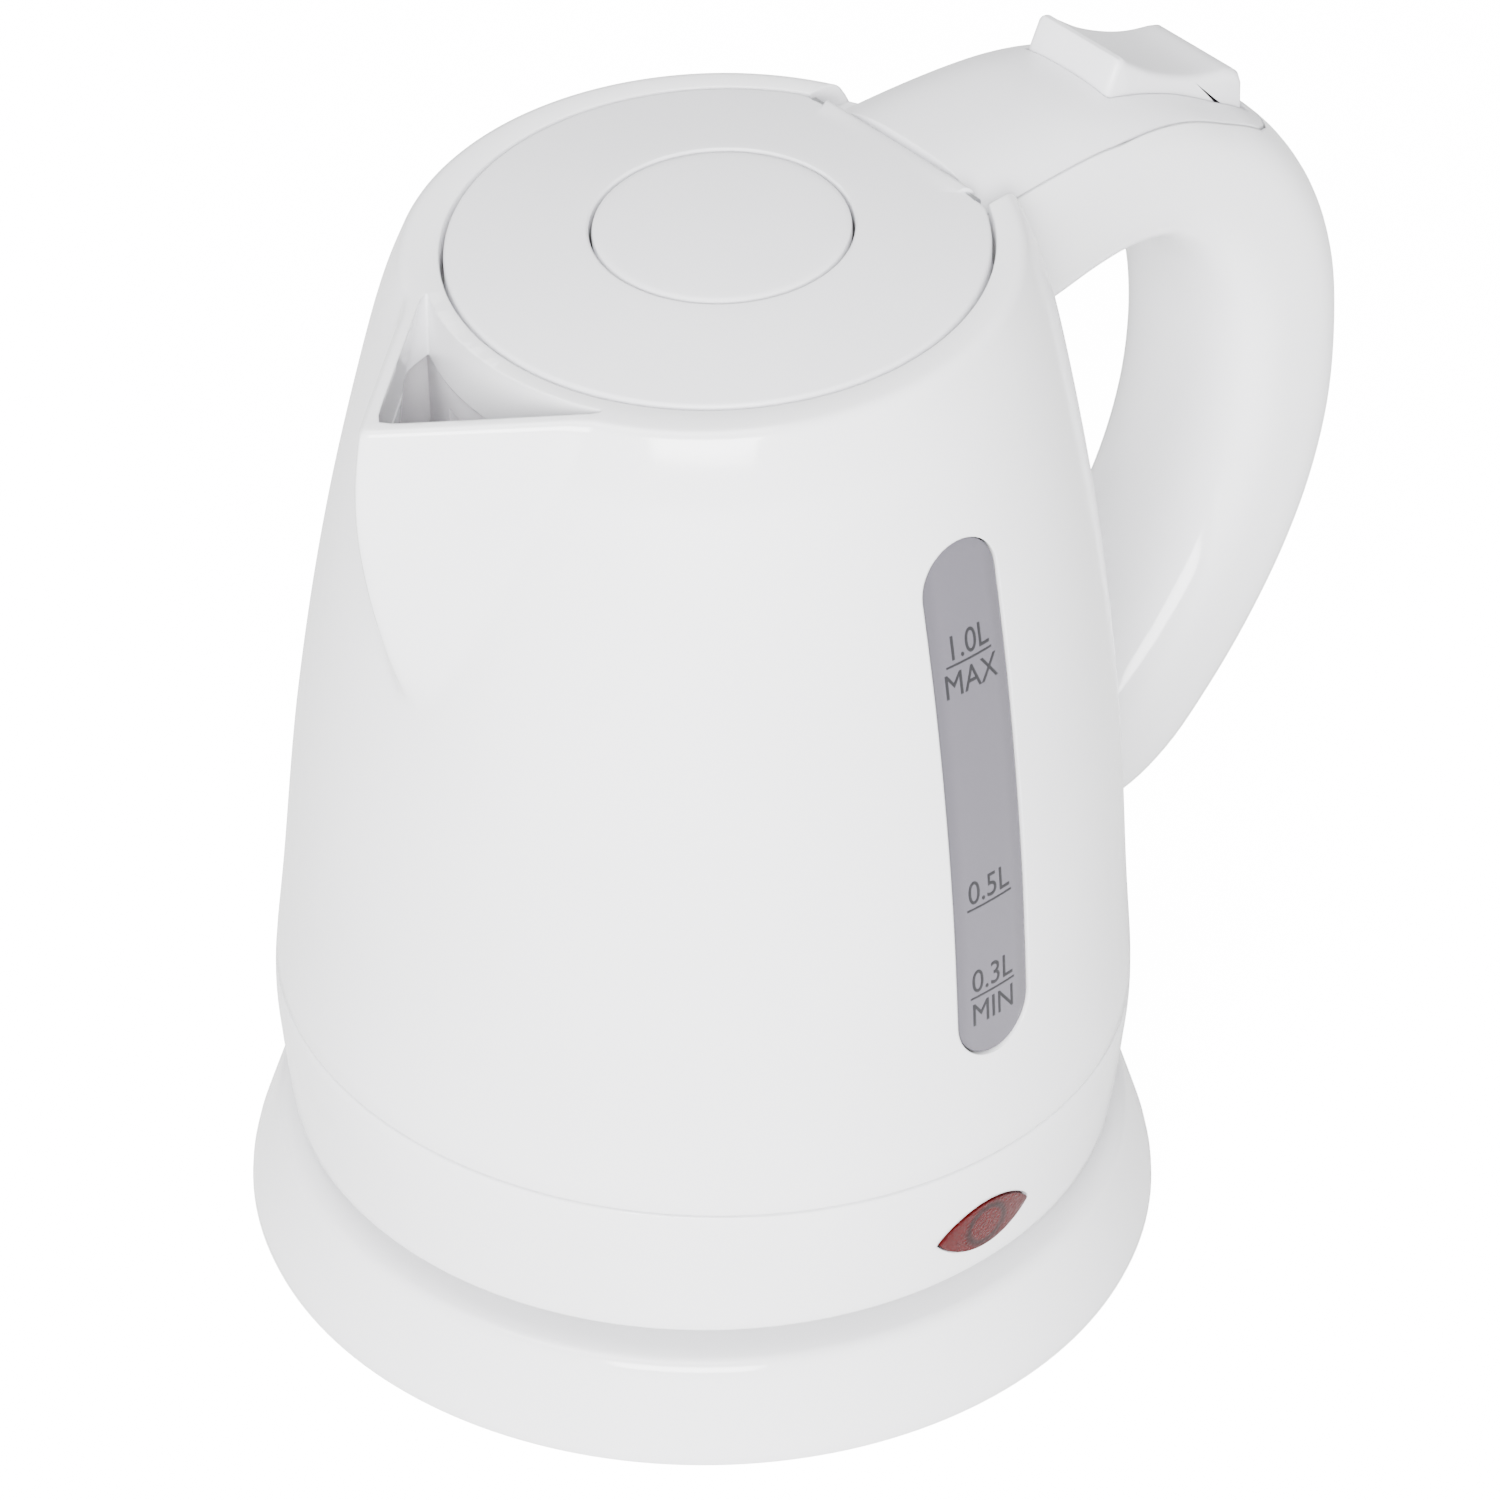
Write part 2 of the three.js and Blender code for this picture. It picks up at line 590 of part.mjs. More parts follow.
const plateRadius = jugRadius(jug.plateZ) - jug.wall - 1.6;
const ledgeTop = jug.plateZ + 3;
add('heating_plate', turned([
  [0, jug.plateZ - 1.2], [plateRadius - 5, jug.plateZ - 1.2], [plateRadius - 5, jug.plateZ - 2.2],
  [plateRadius, jug.plateZ - 2.2], [plateRadius, jug.plateZ - 1], [plateRadius - 3.8, jug.plateZ - 1],
  [plateRadius - 3.8, jug.plateZ], [0, jug.plateZ],
]), colours.steel);
add('plate_seal', turnedRing([
  [plateRadius - 3.4, jug.plateZ - 0.7], [plateRadius - 0.2, jug.plateZ - 0.7],
  [plateRadius - 0.2, jug.plateZ + 0.6], [plateRadius - 3.4, jug.plateZ + 0.6],
]), colours.rubber);
const clampTop = jug.plateZ - 2.2 - CLEAR;
add('plate_clamp_ring', cut(turnedRing([
  [plateRadius - 5, clampTop - 2], [plateRadius + 0.6, clampTop - 2],
  [plateRadius + 0.6, clampTop], [plateRadius - 5, clampTop],
]), box(50, 80, -4, 4, 30, 60)), colours.inner);

class ElementPath extends THREE.Curve {
  getPoint(t, target = new THREE.Vector3()) {
    const angle = THREE.MathUtils.degToRad(25 + 310 * t);
    return target.set(element.radius * Math.cos(angle), element.radius * Math.sin(angle), element.z);
  }
}
const tails = [25, 335].map((degrees) => {
  const angle = THREE.MathUtils.degToRad(degrees);
  const [x, y] = [element.radius * Math.cos(angle), element.radius * Math.sin(angle)];
  return drum(1.4, element.z - 9, element.z, x, y, 10);
});
add('heating_element', join(sweep(new ElementPath(), element.tubeRadius, 32, 8), ...tails), colours.steel);

// ---- Lower ring, lens and lamp ---------------------------------------------------------

const belowJug = box(-FAR, FAR, -FAR, FAR, -FAR, jug.ringBottomZ);
const aboveSeam = above(jug.seamZ + CLEAR / 2, jug.seamTilt);
const aboveRing = above(jug.seamZ - CLEAR / 2, jug.seamTilt);

const lensOutline = new THREE.Shape();
const lensHalf = lamp.width / 2;
lensOutline.moveTo(-lensHalf, 0);
lensOutline.quadraticCurveTo(0, -lamp.height, lensHalf, 0);
lensOutline.quadraticCurveTo(0, lamp.height, -lensHalf, 0);

/** Prism along Y with the lens outline grown by an amount, at the lamp's height. */
function lensPrism(grow) {
  const scale = (lensHalf + grow * 1.4) / lensHalf;
  const scaleUp = (lamp.height / 2 + grow) / (lamp.height / 2);
  return slice(lensOutline, 40, 8).scale([scale, 1, scaleUp]).translate([0, -60, lamp.z]);
}

const ringWall = cut(jugOuter, jugInner, belowJug, aboveRing);
const ribReach = jug.ringBottomRadius - closureCircle - 0.9;
const ringBosses = screwSpots.map(([x, y]) => join(
  tube(4, screwBore, closureTop + CLEAR, 40, x, y, 12),
  cut(box(-1, 1, 0, ribReach, closureTop + CLEAR, 38).rotate([0, 0, Math.atan2(y, x) * 180 / Math.PI - 90])
    .translate([x, y, 0]), drum(screwBore + 0.2, 20, 45, x, y, 12)),
));
const ringRibs = join(...ringBosses);
add('lower_ring', cut(join(ringWall, ringRibs.intersect(jugSolid(-0.8))), lensPrism(CLEAR)), colours.shell);

const lensBody = cut(jugSolid(0.35), jugSolid(-jug.wall - 0.4)).intersect(lensPrism(0));
add('indicator_lens', lensBody, colours.lens);
const lampY = -jugRadius(lamp.z) + jug.wall + 1;
const upright = (shape, y) => shape.rotate([90, 0, 0]).translate([0, y, lamp.z]);
const lampSleeve = cut(tube(4.6, 3.6, 0, 10), box(-1, 1, -6, 6, -8, -3));
add('lamp_holder', upright(lampSleeve, lampY + 11), colours.dark);
add('neon_lamp', upright(join(drum(2.6, 1, 9, 0, 0, 16),
  turned([[0, 9], [2.6, 9], [1.6, 10.6], [0, 11]], 16)), lampY + 12.4), colours.lens);

// ---- Jug shell -------------------------------------------------------------------------

const belowCeiling = fromLidFrame(box(-FAR, FAR, -FAR, FAR, -FAR, -lid.ledge - 1.5));
const well = fromLidFrame(drum(lid.wellRadius, -lid.ledge, 12, 0, 0, ROUND));
const throat = fromLidFrame(cut(drum(lid.throatRadius, -lid.ledge - 3, 0, 0, 0, ROUND),
  box(lid.throatChord, FAR, -FAR, FAR, -30, 30)));
const rimCore = fromLidFrame(drum(lid.wellRadius + 2.6, -lid.ledge - 1.6, 12, 0, 0, ROUND));
const tongueHalf = 20.8 + handleGrowth;
const tongueFloor = jug.rimZ - 8;
const handleNotch = box(jug.rimShift + lid.hingeX - 1.6, FAR, -tongueHalf, tongueHalf, tongueFloor, SKY);
const water = jugInner.intersect(belowCeiling);
const pocket = cut(spoutSolid(spout.wall), rimCore);
const plateWell = drum(plateRadius + 1.2, 30, jug.plateZ + 0.9, 0, 0, ROUND);
const ledgeBlock = cut(drum(70, jug.plateZ + 0.9, ledgeTop), drum(plateRadius - 2.4, 40, 70, 0, 0, ROUND));
const gaugeX = 2;

/** Prism along Y with round ends, for the gauge slot and the gauge itself. */
function gaugePrism(grow) {
  const half = gauge.width / 2 + grow;
  const shape = new THREE.Shape();
  shape.absarc(gaugeX, gauge.bottom + gauge.width / 2, half, Math.PI, 2 * Math.PI);
  shape.absarc(gaugeX, gauge.top - gauge.width / 2, half, 0, Math.PI);
  return slice(shape, 40, 8).translate([0, -60, 0]);
}

const latchZ = -3.6;
const latchReach = lid.wellRadius + 1.9;
const latchPockets = fromLidFrame(box(-5, 5, -latchReach, latchReach, latchZ - 1.4, latchZ + 1.4));
const steam = { z: jug.rimZ - 16.1, bore: 4 };
const wire = { z: 49.6, bore: 2.3, radius: 0.9, apart: 1.2 };

const belowSeam = cut(box(-FAR, FAR, -FAR, FAR, -FAR, 80), aboveSeam);
const jugForm = cut(join(jugOuter, spoutSolid(0)), aboveRim, belowSeam);
const hollow = cut(join(water, pocket), ledgeBlock);
const hingeBlock = box(jug.rimRadius - 9.4, jug.rimRadius + 8.6, -18, 18, jug.rimZ - 24.1,
  jug.rimZ - lid.ledge - 1).intersect(jugSolid(-1));
const jugWithBlock = cut(jugForm, cut(hollow, hingeBlock), plateWell.intersect(jugSolid(-1.6)));
const wireHole = bar(wire.bore, jug.bulgeRadius - 9, jug.bulgeRadius + 6, 0, wire.z);
const handleScrewSpots = [-12, 12];
const screwX = jug.rimRadius - 0.9;
add('body_shell', cut(
  jugWithBlock, well, throat, handleNotch, gaugePrism(CLEAR), latchPockets, wireHole,
  bar(steam.bore, 36, 60, 0, steam.z),
  ...handleScrewSpots.map((y) => drum(screwBore, tongueFloor - 9, tongueFloor + 1, screwX, y, 16)),
), colours.shell);

const gaugeFace = cut(jugSolid(-gauge.recess), jugSolid(-jug.wall - 0.2)).intersect(gaugePrism(0));
const gaugeFlange = cut(jugSolid(-jug.wall - CLEAR), jugSolid(-jug.wall - 1.9)).intersect(gaugePrism(2.4));
const gaugeJoin = cut(jugSolid(-1.2), jugSolid(-jug.wall - 1)).intersect(gaugePrism(0));
add('water_gauge_window', join(gaugeFace, gaugeJoin, gaugeFlange), colours.gauge);

// ---- Spout filter ----------------------------------------------------------------------

const filter = { radius: 43.6, wall: 1.6, halfAngle: 20, drop: 22 };
const filterTop = -lid.ledge - 1.5 - CLEAR;

/** Pie slice about the rim's centre, facing the spout. */
function sector(radius, halfAngle, z0, z1, inner = 0) {
  const points = [[inner, 0]];
  const steps = 8;
  for (let i = 0; i <= steps; i += 1) {
    const angle = Math.PI + THREE.MathUtils.degToRad(halfAngle * (-1 + (2 * i) / steps));
    points.push([radius * Math.cos(angle), radius * Math.sin(angle)]);
  }
  return plate(outline(...points), z0, z1);
}

const filterShell = cut(
  sector(60, filter.halfAngle, filterTop - filter.drop, filterTop),
  drum(filter.radius, -60, 20, 0, 0, ROUND),
  cut(sector(62, filter.halfAngle - 2, filterTop - filter.drop + filter.wall, 20),
    drum(filter.radius + filter.wall, -60, 20, 0, 0, ROUND)),
);
const filterWindows = [-12, 0, 12].map((degrees) =>
  box(-50, -40, -3.6, 3.6, filterTop - filter.drop + 4, filterTop - 5).rotate([0, 0, degrees]));
const inJug = jugSolid(-jug.wall - CLEAR);
add('spout_filter_frame', fromLidFrame(cut(filterShell, ...filterWindows)).intersect(inJug), colours.gauge);
const gauze = cut(
  sector(filter.radius - CLEAR, filter.halfAngle - 2, filterTop - filter.drop + 2, filterTop - 3),
  drum(filter.radius - CLEAR - 0.5, -60, 20, 0, 0, ROUND),
);
add('spout_filter_mesh', fromLidFrame(gauze), colours.inner);

// ---- Handle ----------------------------------------------------------------------------

const coverFront = jug.rimShift + lid.hingeX + lid.hingeBead + 0.7;
const coverRest = 24;

/** Plan outline of the top cover, wide at the lid and narrower along the handle. */
function coverPlan(grow) {
  const drawnSide = [[56, 18.4], [70, 16.2], [84, 14.6], [100, 13.2]];
  const points = [[coverFront - grow, 20.4], ...drawnSide.map(([x, y]) => [x + switchMove[0], y])];
  const rear = handle.coverEnd + grow;
  const wider = grow + handleGrowth;
  const side = [...points, [rear - 3, 12.4], [rear, 9]].map(([x, y]) => [x, y + wider]);
  const otherSide = side.map(([x, y]) => [x, -y]).reverse();
  return plate(outline(...side, ...otherSide), fitZ(100), SKY);
}

/** Band under the handle's outside line, seen from the side. */
function coverBand(depth) {
  const top = [];
  for (let i = 0; i <= coverRest; i += 1) {
    const x = THREE.MathUtils.lerp(coverFront - 4, handle.coverEnd + 6, i / coverRest);
    top.push([x, handleTop(x)]);
  }
  const lean = (x, from, over) => Math.max(0, (x - switchMove[0] - from) / over);
  const lower = top.map(([x, z]) => [x - depth * 0.25 * lean(x, 80, 20), z - depth]).reverse();
  return slice(outline(...top.map(([x, z]) => [x + 8 * lean(x, 90, 30), z + 12]), ...lower), 40);
}

const handleForm = handleSolid(0);
const jugBarrier = cut(jugSolid(CLEAR),
  box(coverFront - 1, FAR, -tongueHalf, tongueHalf, tongueFloor + CLEAR, SKY));
const coverSpace = coverPlan(CLEAR).intersect(coverBand(handle.coverDepth + CLEAR));
const duct = cut(handleSolid(handle.wall), box(-FAR, jug.rimRadius + 6.6, -FAR, FAR, fitZ(140), SKY));
const aheadOfCover = box(-FAR, coverFront, -FAR, FAR, 0, SKY);
const { x: lugX, z: hingeZ } = hinge;
const lugs = [-1, 1].map((side) => {
  const y0 = side > 0 ? lid.hingeHalf + CLEAR : -lid.hingeHalf - CLEAR - 2;
  const foot = box(lugX - 1.2, coverFront + 1.5, y0, y0 + 2, tongueFloor + CLEAR, tongueFloor + 3);
  const post = box(lugX - 1.2, lugX + 1.4, y0, y0 + 2, tongueFloor + CLEAR, hingeZ);
  return join(foot, post, axle(1.6, lugX, hingeZ, 1).translate([0, y0 + 1, 0]));
});
const screwHeadZ = tongueFloor + 3;
const handleBody = cut(handleForm, jugBarrier, aheadOfCover, coverSpace, duct,
  bar(steam.bore, 40, 62, 0, steam.z),
  ...handleScrewSpots.flatMap((y) => [
    drum(screwBore, tongueFloor - 1, SKY, screwX, y, 16), drum(3.4, screwHeadZ, SKY, screwX, y, 16),
  ]));
const breaker = {
  front: rocker.pivotX - 17,
  rear: rocker.pivotX + 5,
  bottom: rocker.pivotZ - 9.5,
  top: rocker.pivotZ - 3.5,
  cheek: rocker.halfWidth + 2.1,
};
const trip = { x: rocker.pivotX - 11, z: rocker.pivotZ - 0.4, journal: 1, hub: 2 };
const cheekBox = { front: trip.x - 3, rear: rocker.pivotX + 2.2, top: rocker.pivotZ + 1.9 };
const cheekRoom = box(cheekBox.front - CLEAR, cheekBox.rear + CLEAR, -breaker.cheek - CLEAR,
  breaker.cheek + CLEAR, breaker.top, cheekBox.top + CLEAR);
const pinHole = axle(lid.pinRadius + RUN * 1.5, lugX, hingeZ, 22);
add('handle_shell', cut(join(handleBody, ...lugs), pinHole, cheekRoom), colours.shell);

const rockerBay = box(rocker.front - CLEAR, rocker.rear + CLEAR + 0.6, -rocker.halfWidth - CLEAR,
  rocker.halfWidth + CLEAR, fitZ(140), SKY);
const coverBlank = handleForm.intersect(coverPlan(0)).intersect(coverBand(handle.coverDepth));
add('handle_top_cover', cut(coverBlank, rockerBay, aheadOfCover), colours.satin);

/** Pan head screw that points down, with the underside of its head at a height. */
function screwDown(x, y, seat, length) {
  const head = drum(3, seat, seat + 1.4, x, y, 12);
  const slot = box(x - 3, x + 3, y - 0.35, y + 0.35, seat + 0.9, seat + 3);
  return cut(join(head, drum(1.4, seat - length, seat + 0.2, x, y, 8)), slot);
}
handleScrewSpots.forEach((y, i) => {
  add(`handle_screw_${i + 1}`, screwDown(screwX, y, screwHeadZ + 0.1, 10), colours.steel);
});
add('lid_hinge_pin', axle(lid.pinRadius, lugX, hingeZ, lid.hingeHalf + 2), colours.steel);

// ---- Steam switch and rocker -----------------------------------------------------------

const cheeks = [-1, 1].map((side) => {
  const y0 = side > 0 ? rocker.halfWidth + 0.5 : -breaker.cheek;
  return box(cheekBox.front, cheekBox.rear, y0, y0 + breaker.cheek - rocker.halfWidth - 0.5,
    breaker.top - 1, cheekBox.top);
});
const breakerBlock = box(breaker.front, breaker.rear, -breaker.cheek, breaker.cheek,
  breaker.bottom, breaker.top);
add('steam_switch_body', cut(
  join(breakerBlock, ...cheeks),
  axle(rocker.pinRadius + RUN * 1.5, rocker.pivotX, rocker.pivotZ, 14),
  axle(trip.journal + RUN * 1.5, trip.x, trip.z, 14),
  box(trip.x + 3, breaker.rear - 3, -6, 6, breaker.top - 3, breaker.top + 1),
), colours.dark);
add('steam_bimetal', bar(5, breaker.front - 9, breaker.front - 8.3, 0, steam.z, 20), colours.steel);
add('rocker_pin', axle(rocker.pinRadius, rocker.pivotX, rocker.pivotZ, breaker.cheek), colours.steel);
add('trip_lever', join(
  axle(trip.journal, trip.x, trip.z, breaker.cheek),
  axle(trip.hub, trip.x, trip.z, 5),
  box(trip.x, trip.x + 6, -3, 3, trip.z - 0.9, trip.z + 0.9),
), colours.inner);

// The rocker is drawn about its pivot.
const rockerTop = new THREE.SplineCurve([
  new THREE.Vector2(-9.8, 18.6), new THREE.Vector2(-4, 15.2), new THREE.Vector2(3, 11.6),
  new THREE.Vector2(9.5, 8.6), new THREE.Vector2(14.4, 6),
]).getPoints(8).map((p) => [p.x, p.y]);
const rockerSide = outline(
  [-14.5, 9.6], [-14.4, 14.4], [-12, 19.2], [-11, 19.3], ...rockerTop,
  [15.8, 5], [16.2, 3.4], [15.8, 0.4], [12, 1.6], [5, 5.5], [-3, 8.4], [-9, 9.9],
);
const rockerWeb = slice(outline([-2.6, -2], [2.6, -2], [4.5, 6.5], [-4.5, 9.5]), 5);
add('switch_rocker', cut(
  join(slice(rockerSide, rocker.halfWidth), rockerWeb, axle(2.8, 0, 0, 5)),
  axle(rocker.pinRadius + RUN * 1.5, 0, 0, 14),
).translate([rocker.pivotX, 0, rocker.pivotZ]), colours.satin);

// ---- Leads from the control to the steam switch ----------------------------------------

const gripLine = handleStations.slice(6, 18).map(([outer, inner]) =>
  [(outer[0] + inner[0]) / 2, (outer[1] + inner[1]) / 2]);
[-1, 1].forEach((side, i) => {
  const route = [
    [breaker.rear + 1.4, breaker.bottom - 4.5], ...gripLine.slice(2),
    [jug.bulgeRadius + 5, wire.z + 1.4], [jug.bulgeRadius - 3, wire.z],
    [52, wire.z - 0.6], [36, wire.z - 3],
    [26, control.bottom + 3.4], [control.half + CLEAR, control.bottom + 3],
  ];
  const points = route.map(([x, z]) => new THREE.Vector3(x, side * wire.apart, z));
  const curve = new THREE.CatmullRomCurve3(points);
  add(`switch_lead_${i + 1}`, sweep(curve, wire.radius, 44), colours.wire);
});

// ---- Lid, in the frame of its edge -----------------------------------------------------

const lidRadius = lid.wellRadius - lid.gap;
const lidChord = lid.hingeX + 0.7;
const lugNotch = { x: lid.hingeX - 2.1, y: lid.hingeHalf };
const domeLine = (from, drop) => Array.from({ length: 5 }, (_, i) => {
  const r = from * (1 - i / 4);
  return [r, dome(r) - drop];
});
const cornerCuts = [-1, 1].map((side) => box(lugNotch.x, 60, side > 0 ? lugNotch.y : -60,
  side > 0 ? 60 : -lugNotch.y, -20, 20));
const lidBlock = cut(
  turned([[0, -lid.depth], [lidRadius, -lid.depth], [lidRadius, -0.7], ...domeLine(lidRadius - 0.8, 0)]),
  box(lidChord, 60, -60, 60, -20, hingeLocal),
  box(lid.hingeX, 60, -60, 60, -20, 20), ...cornerCuts,
);
const bead = axle(lid.hingeBead, lid.hingeX, hingeLocal, lid.hingeHalf);
const rearWall = box(lid.hingeX - 2, lidChord, -lid.hingeHalf, lid.hingeHalf, -lid.depth, hingeLocal);
const lidHollow = cut(
  turned([[0, -lid.depth - 1], [lidRadius - 2, -lid.depth - 1], ...domeLine(lidRadius - 2, lid.wall)]),
  box(lid.hingeX - 1.6, 60, -60, 60, -20, 20),
  ...[-1, 1].map((side) => box(lugNotch.x - 2, 60, side > 0 ? lugNotch.y - 2 : -60,
    side > 0 ? 60 : 2 - lugNotch.y, -20, 20)),
);
const lidScrews = [[23, 18], [-30, 0], [23, -18]];
const bosses = lidScrews.map(([x, y]) => drum(3.4, -lid.depth, dome(Math.hypot(x, y)) - 1, x, y, 12));
const sleeve = tube(lid.buttonRadius + 2.3, lid.buttonRadius + 0.5,
  latchZ + 1.4, dome(lid.buttonRadius) - 0.4,
  lid.buttonShift, 0, ROUND);
add('lid_cover', cut(
  join(cut(join(lidBlock, bead, rearWall), lidHollow), ...bosses, sleeve),
  drum(lid.buttonRadius + 0.5, -20, 20, lid.buttonShift, 0, ROUND),
  axle(lid.pinRadius + RUN * 2, lid.hingeX, hingeLocal, 30),
  box(-4.4, 4.4, -60, 60, latchZ - 1.5, latchZ + 1.4),
  ...lidScrews.map(([x, y]) => drum(screwBore, -lid.depth - 1, 0.4, x, y, 12)),
), colours.satin, lidFrame);

/** Round plate outline with a straight rear edge. */
function dShape(radius, chord) {
  const start = Math.acos(chord / radius);
  const shape = new THREE.Shape();
  shape.absarc(0, 0, radius, start, 2 * Math.PI - start);
  shape.closePath();
  return shape;
}
const innerTop = -lid.depth - CLEAR;
const innerBottom = innerTop - 2.2;
const sealInner = [lid.throatRadius + 1.1, lid.throatChord + 0.4];
add('lid_inner_plate', cut(
  join(plate(dShape(sealInner[0] - CLEAR, sealInner[1] - CLEAR), innerBottom, innerTop, 20),
    tube(4, 2.9, innerTop - 0.5, innerTop + 1.8, lid.buttonShift, 0, 20)),
  ...lidScrews.flatMap(([x, y]) => [
    drum(screwBore, -20, 0, x, y, 12), drum(3.4, -20, innerBottom + 1.2, x, y, 12),
  ]),
), colours.inner, lidFrame);
add('lid_seal', cut(
  plate(dShape(lidRadius - 0.4, lid.throatChord + 2.6), -lid.ledge + CLEAR, innerTop, 20),
  plate(dShape(...sealInner), -20, 0, 20),
), colours.rubber, lidFrame);
lidScrews.forEach(([x, y], i) => {
  add(`lid_screw_${i + 1}`, screwUp(x, y, innerBottom - 0.3, 7.4), colours.steel, lidFrame);
});

const buttonTop = domeLine(lid.buttonRadius - 0.5, 0.1);
const capUnder = dome(lid.buttonRadius - 2) - 2;
add('lid_button', join(
  turned([[0, dome(0) - 2.1], [lid.buttonRadius - 2, capUnder], [lid.buttonRadius - 2, 0.9],
    [lid.buttonRadius, 0.9], [lid.buttonRadius, dome(lid.buttonRadius) - 0.6], ...buttonTop])
    .translate([lid.buttonShift, 0, 0]),
  drum(2.5, -1.2, dome(0) - 1.9, lid.buttonShift, 0, 16),
  box(-3, 3, 7, 9, -1.8, dome(9) - 1.9), box(-3, 3, -9, -7, -1.8, dome(9) - 1.9),
), colours.satin, lidFrame);
add('button_spring', coil(5, 0.35, innerTop + 0.8, 1.2, 5, lid.buttonShift), colours.steel, lidFrame);
const boltEnds = [12.5, lidRadius + 0.2];
add('latch_bolt_left', box(-4, 4, ...boltEnds, latchZ - 1, latchZ + 1), colours.inner, lidFrame);
add('latch_bolt_right', box(-4, 4, -boltEnds[1], -boltEnds[0], latchZ - 1, latchZ + 1),
  colours.inner, lidFrame);

export default kettle;
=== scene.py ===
"""Looks of a cordless electric kettle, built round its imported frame.

Sizes are in millimetres in the classes and become metres when a mesh is placed.
The handle points to +X, the spout to -X and the water gauge faces -Y.
"""

from __future__ import annotations

import json
import logging
import math
from collections.abc import Callable, Iterable, Iterator, Sequence
from contextlib import contextmanager
from dataclasses import dataclass
from enum import Enum

import bmesh
import bpy
import numpy as np
from mathutils import Matrix, Vector

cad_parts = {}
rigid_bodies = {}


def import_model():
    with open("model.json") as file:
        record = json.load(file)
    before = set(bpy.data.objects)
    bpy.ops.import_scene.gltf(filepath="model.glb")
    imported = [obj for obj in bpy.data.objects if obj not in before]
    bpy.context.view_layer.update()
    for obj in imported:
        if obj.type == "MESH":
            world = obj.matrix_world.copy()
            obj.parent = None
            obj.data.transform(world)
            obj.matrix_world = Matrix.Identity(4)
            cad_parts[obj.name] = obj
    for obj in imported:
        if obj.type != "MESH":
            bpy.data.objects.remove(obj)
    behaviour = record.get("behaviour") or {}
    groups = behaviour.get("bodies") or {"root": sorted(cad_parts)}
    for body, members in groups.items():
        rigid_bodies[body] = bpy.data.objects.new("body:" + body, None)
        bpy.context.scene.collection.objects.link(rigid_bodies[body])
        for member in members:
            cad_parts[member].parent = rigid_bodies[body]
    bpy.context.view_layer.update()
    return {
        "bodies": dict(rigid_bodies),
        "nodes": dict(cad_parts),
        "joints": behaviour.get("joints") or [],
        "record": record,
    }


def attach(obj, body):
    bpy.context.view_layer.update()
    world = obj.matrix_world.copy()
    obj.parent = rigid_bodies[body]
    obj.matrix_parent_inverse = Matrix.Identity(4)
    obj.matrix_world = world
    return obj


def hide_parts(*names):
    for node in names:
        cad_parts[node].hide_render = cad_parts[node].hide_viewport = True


MM = 0.001
SMOOTH_ANGLE = math.radians(32)
log = logging.getLogger("kettle")

Points = np.ndarray
Place = Callable[[Vector], bool]
Three = tuple[float, float, float]


# ---- Modelling bench ----------------------------------------------------------------


class Ends(Enum):
    """How a skinned row of rings is closed."""

    CAPPED = "capped"
    JOINED = "joined"


class Cut(Enum):
    """What a second solid does to the first."""

    AWAY = "DIFFERENCE"
    ADD = "UNION"
    KEEP = "INTERSECT"


def clear() -> None:
    """Leave edit mode and deselect everything."""
    if bpy.context.object and bpy.context.object.mode != "OBJECT":
        bpy.ops.object.mode_set(mode="OBJECT")
    bpy.ops.object.select_all(action="DESELECT")


def only(obj: bpy.types.Object) -> None:
    """Select one object alone and make it active.

    Args:
        obj: the object that the next operators act on.
    """
    clear()
    obj.select_set(True)
    bpy.context.view_layer.objects.active = obj


def fresh(name: str, add: Callable, **settings: object) -> bpy.types.Object:
    """Add an object with one of Blender's operators and name it.

    Args:
        name: name of the object and of its data.
        add: the operator.
        **settings: what the operator is given.

    Returns:
        The object.
    """
    clear()
    add(**settings)
    obj = bpy.context.object
    obj.name = obj.data.name = name
    return obj


@contextmanager
def editing(obj: bpy.types.Object, choose: str = "SELECT") -> Iterator[None]:
    """Edit one mesh by its edges, then leave edit mode.

    Args:
        obj: the piece.
        choose: SELECT or DESELECT for all of it, or nothing to keep what is selected.

    Yields:
        Once, while the mesh is in edit mode.
    """
    only(obj)
    bpy.ops.object.mode_set(mode="EDIT")
    bpy.ops.mesh.select_mode(type="EDGE")
    if choose:
        bpy.ops.mesh.select_all(action=choose)
    yield
    bpy.ops.object.mode_set(mode="OBJECT")


def set_points(obj: bpy.types.Object, points: Points) -> None:
    """Put every point of a mesh in its place, in millimetres."""
    obj.data.vertices.foreach_set("co", (np.asarray(points, float) * MM).ravel())
    obj.data.update()


def tidy_mesh(obj: bpy.types.Object, reach: float = 0.002) -> None:
    """Merge doubled points and turn the faces outwards.

    Args:
        obj: the piece.
        reach: distance in millimetres under which points merge.
    """
    with editing(obj):
        bpy.ops.mesh.remove_doubles(threshold=reach * MM)
        bpy.ops.mesh.normals_make_consistent(inside=False)


def skin(name: str, rings: Sequence[Points], ends: Ends = Ends.CAPPED) -> bpy.types.Object:
    """Extrude a circle ring by ring and set each ring in its place.

    Args:
        name: name of the piece.
        rings: closed rings of equally many points, in millimetres.
        ends: how the first and last ring are closed.

    Returns:
        The closed mesh object.
    """
    count = len(rings[0])
    obj = fresh(name, bpy.ops.mesh.primitive_circle_add, vertices=count, radius=MM)
    with editing(obj):
        for _ in rings[1:]:
            bpy.ops.mesh.extrude_region_move()
    set_points(obj, np.concatenate(rings))
    total = count * len(rings)
    firsts, lasts = range(count), range(total - count, total)
    if ends is Ends.JOINED:
        close_loops(obj, [*firsts, *lasts], bridge=True)
    elif ends is Ends.CAPPED:
        close_loops(obj, firsts)
        close_loops(obj, lasts)
    tidy_mesh(obj)
    return obj


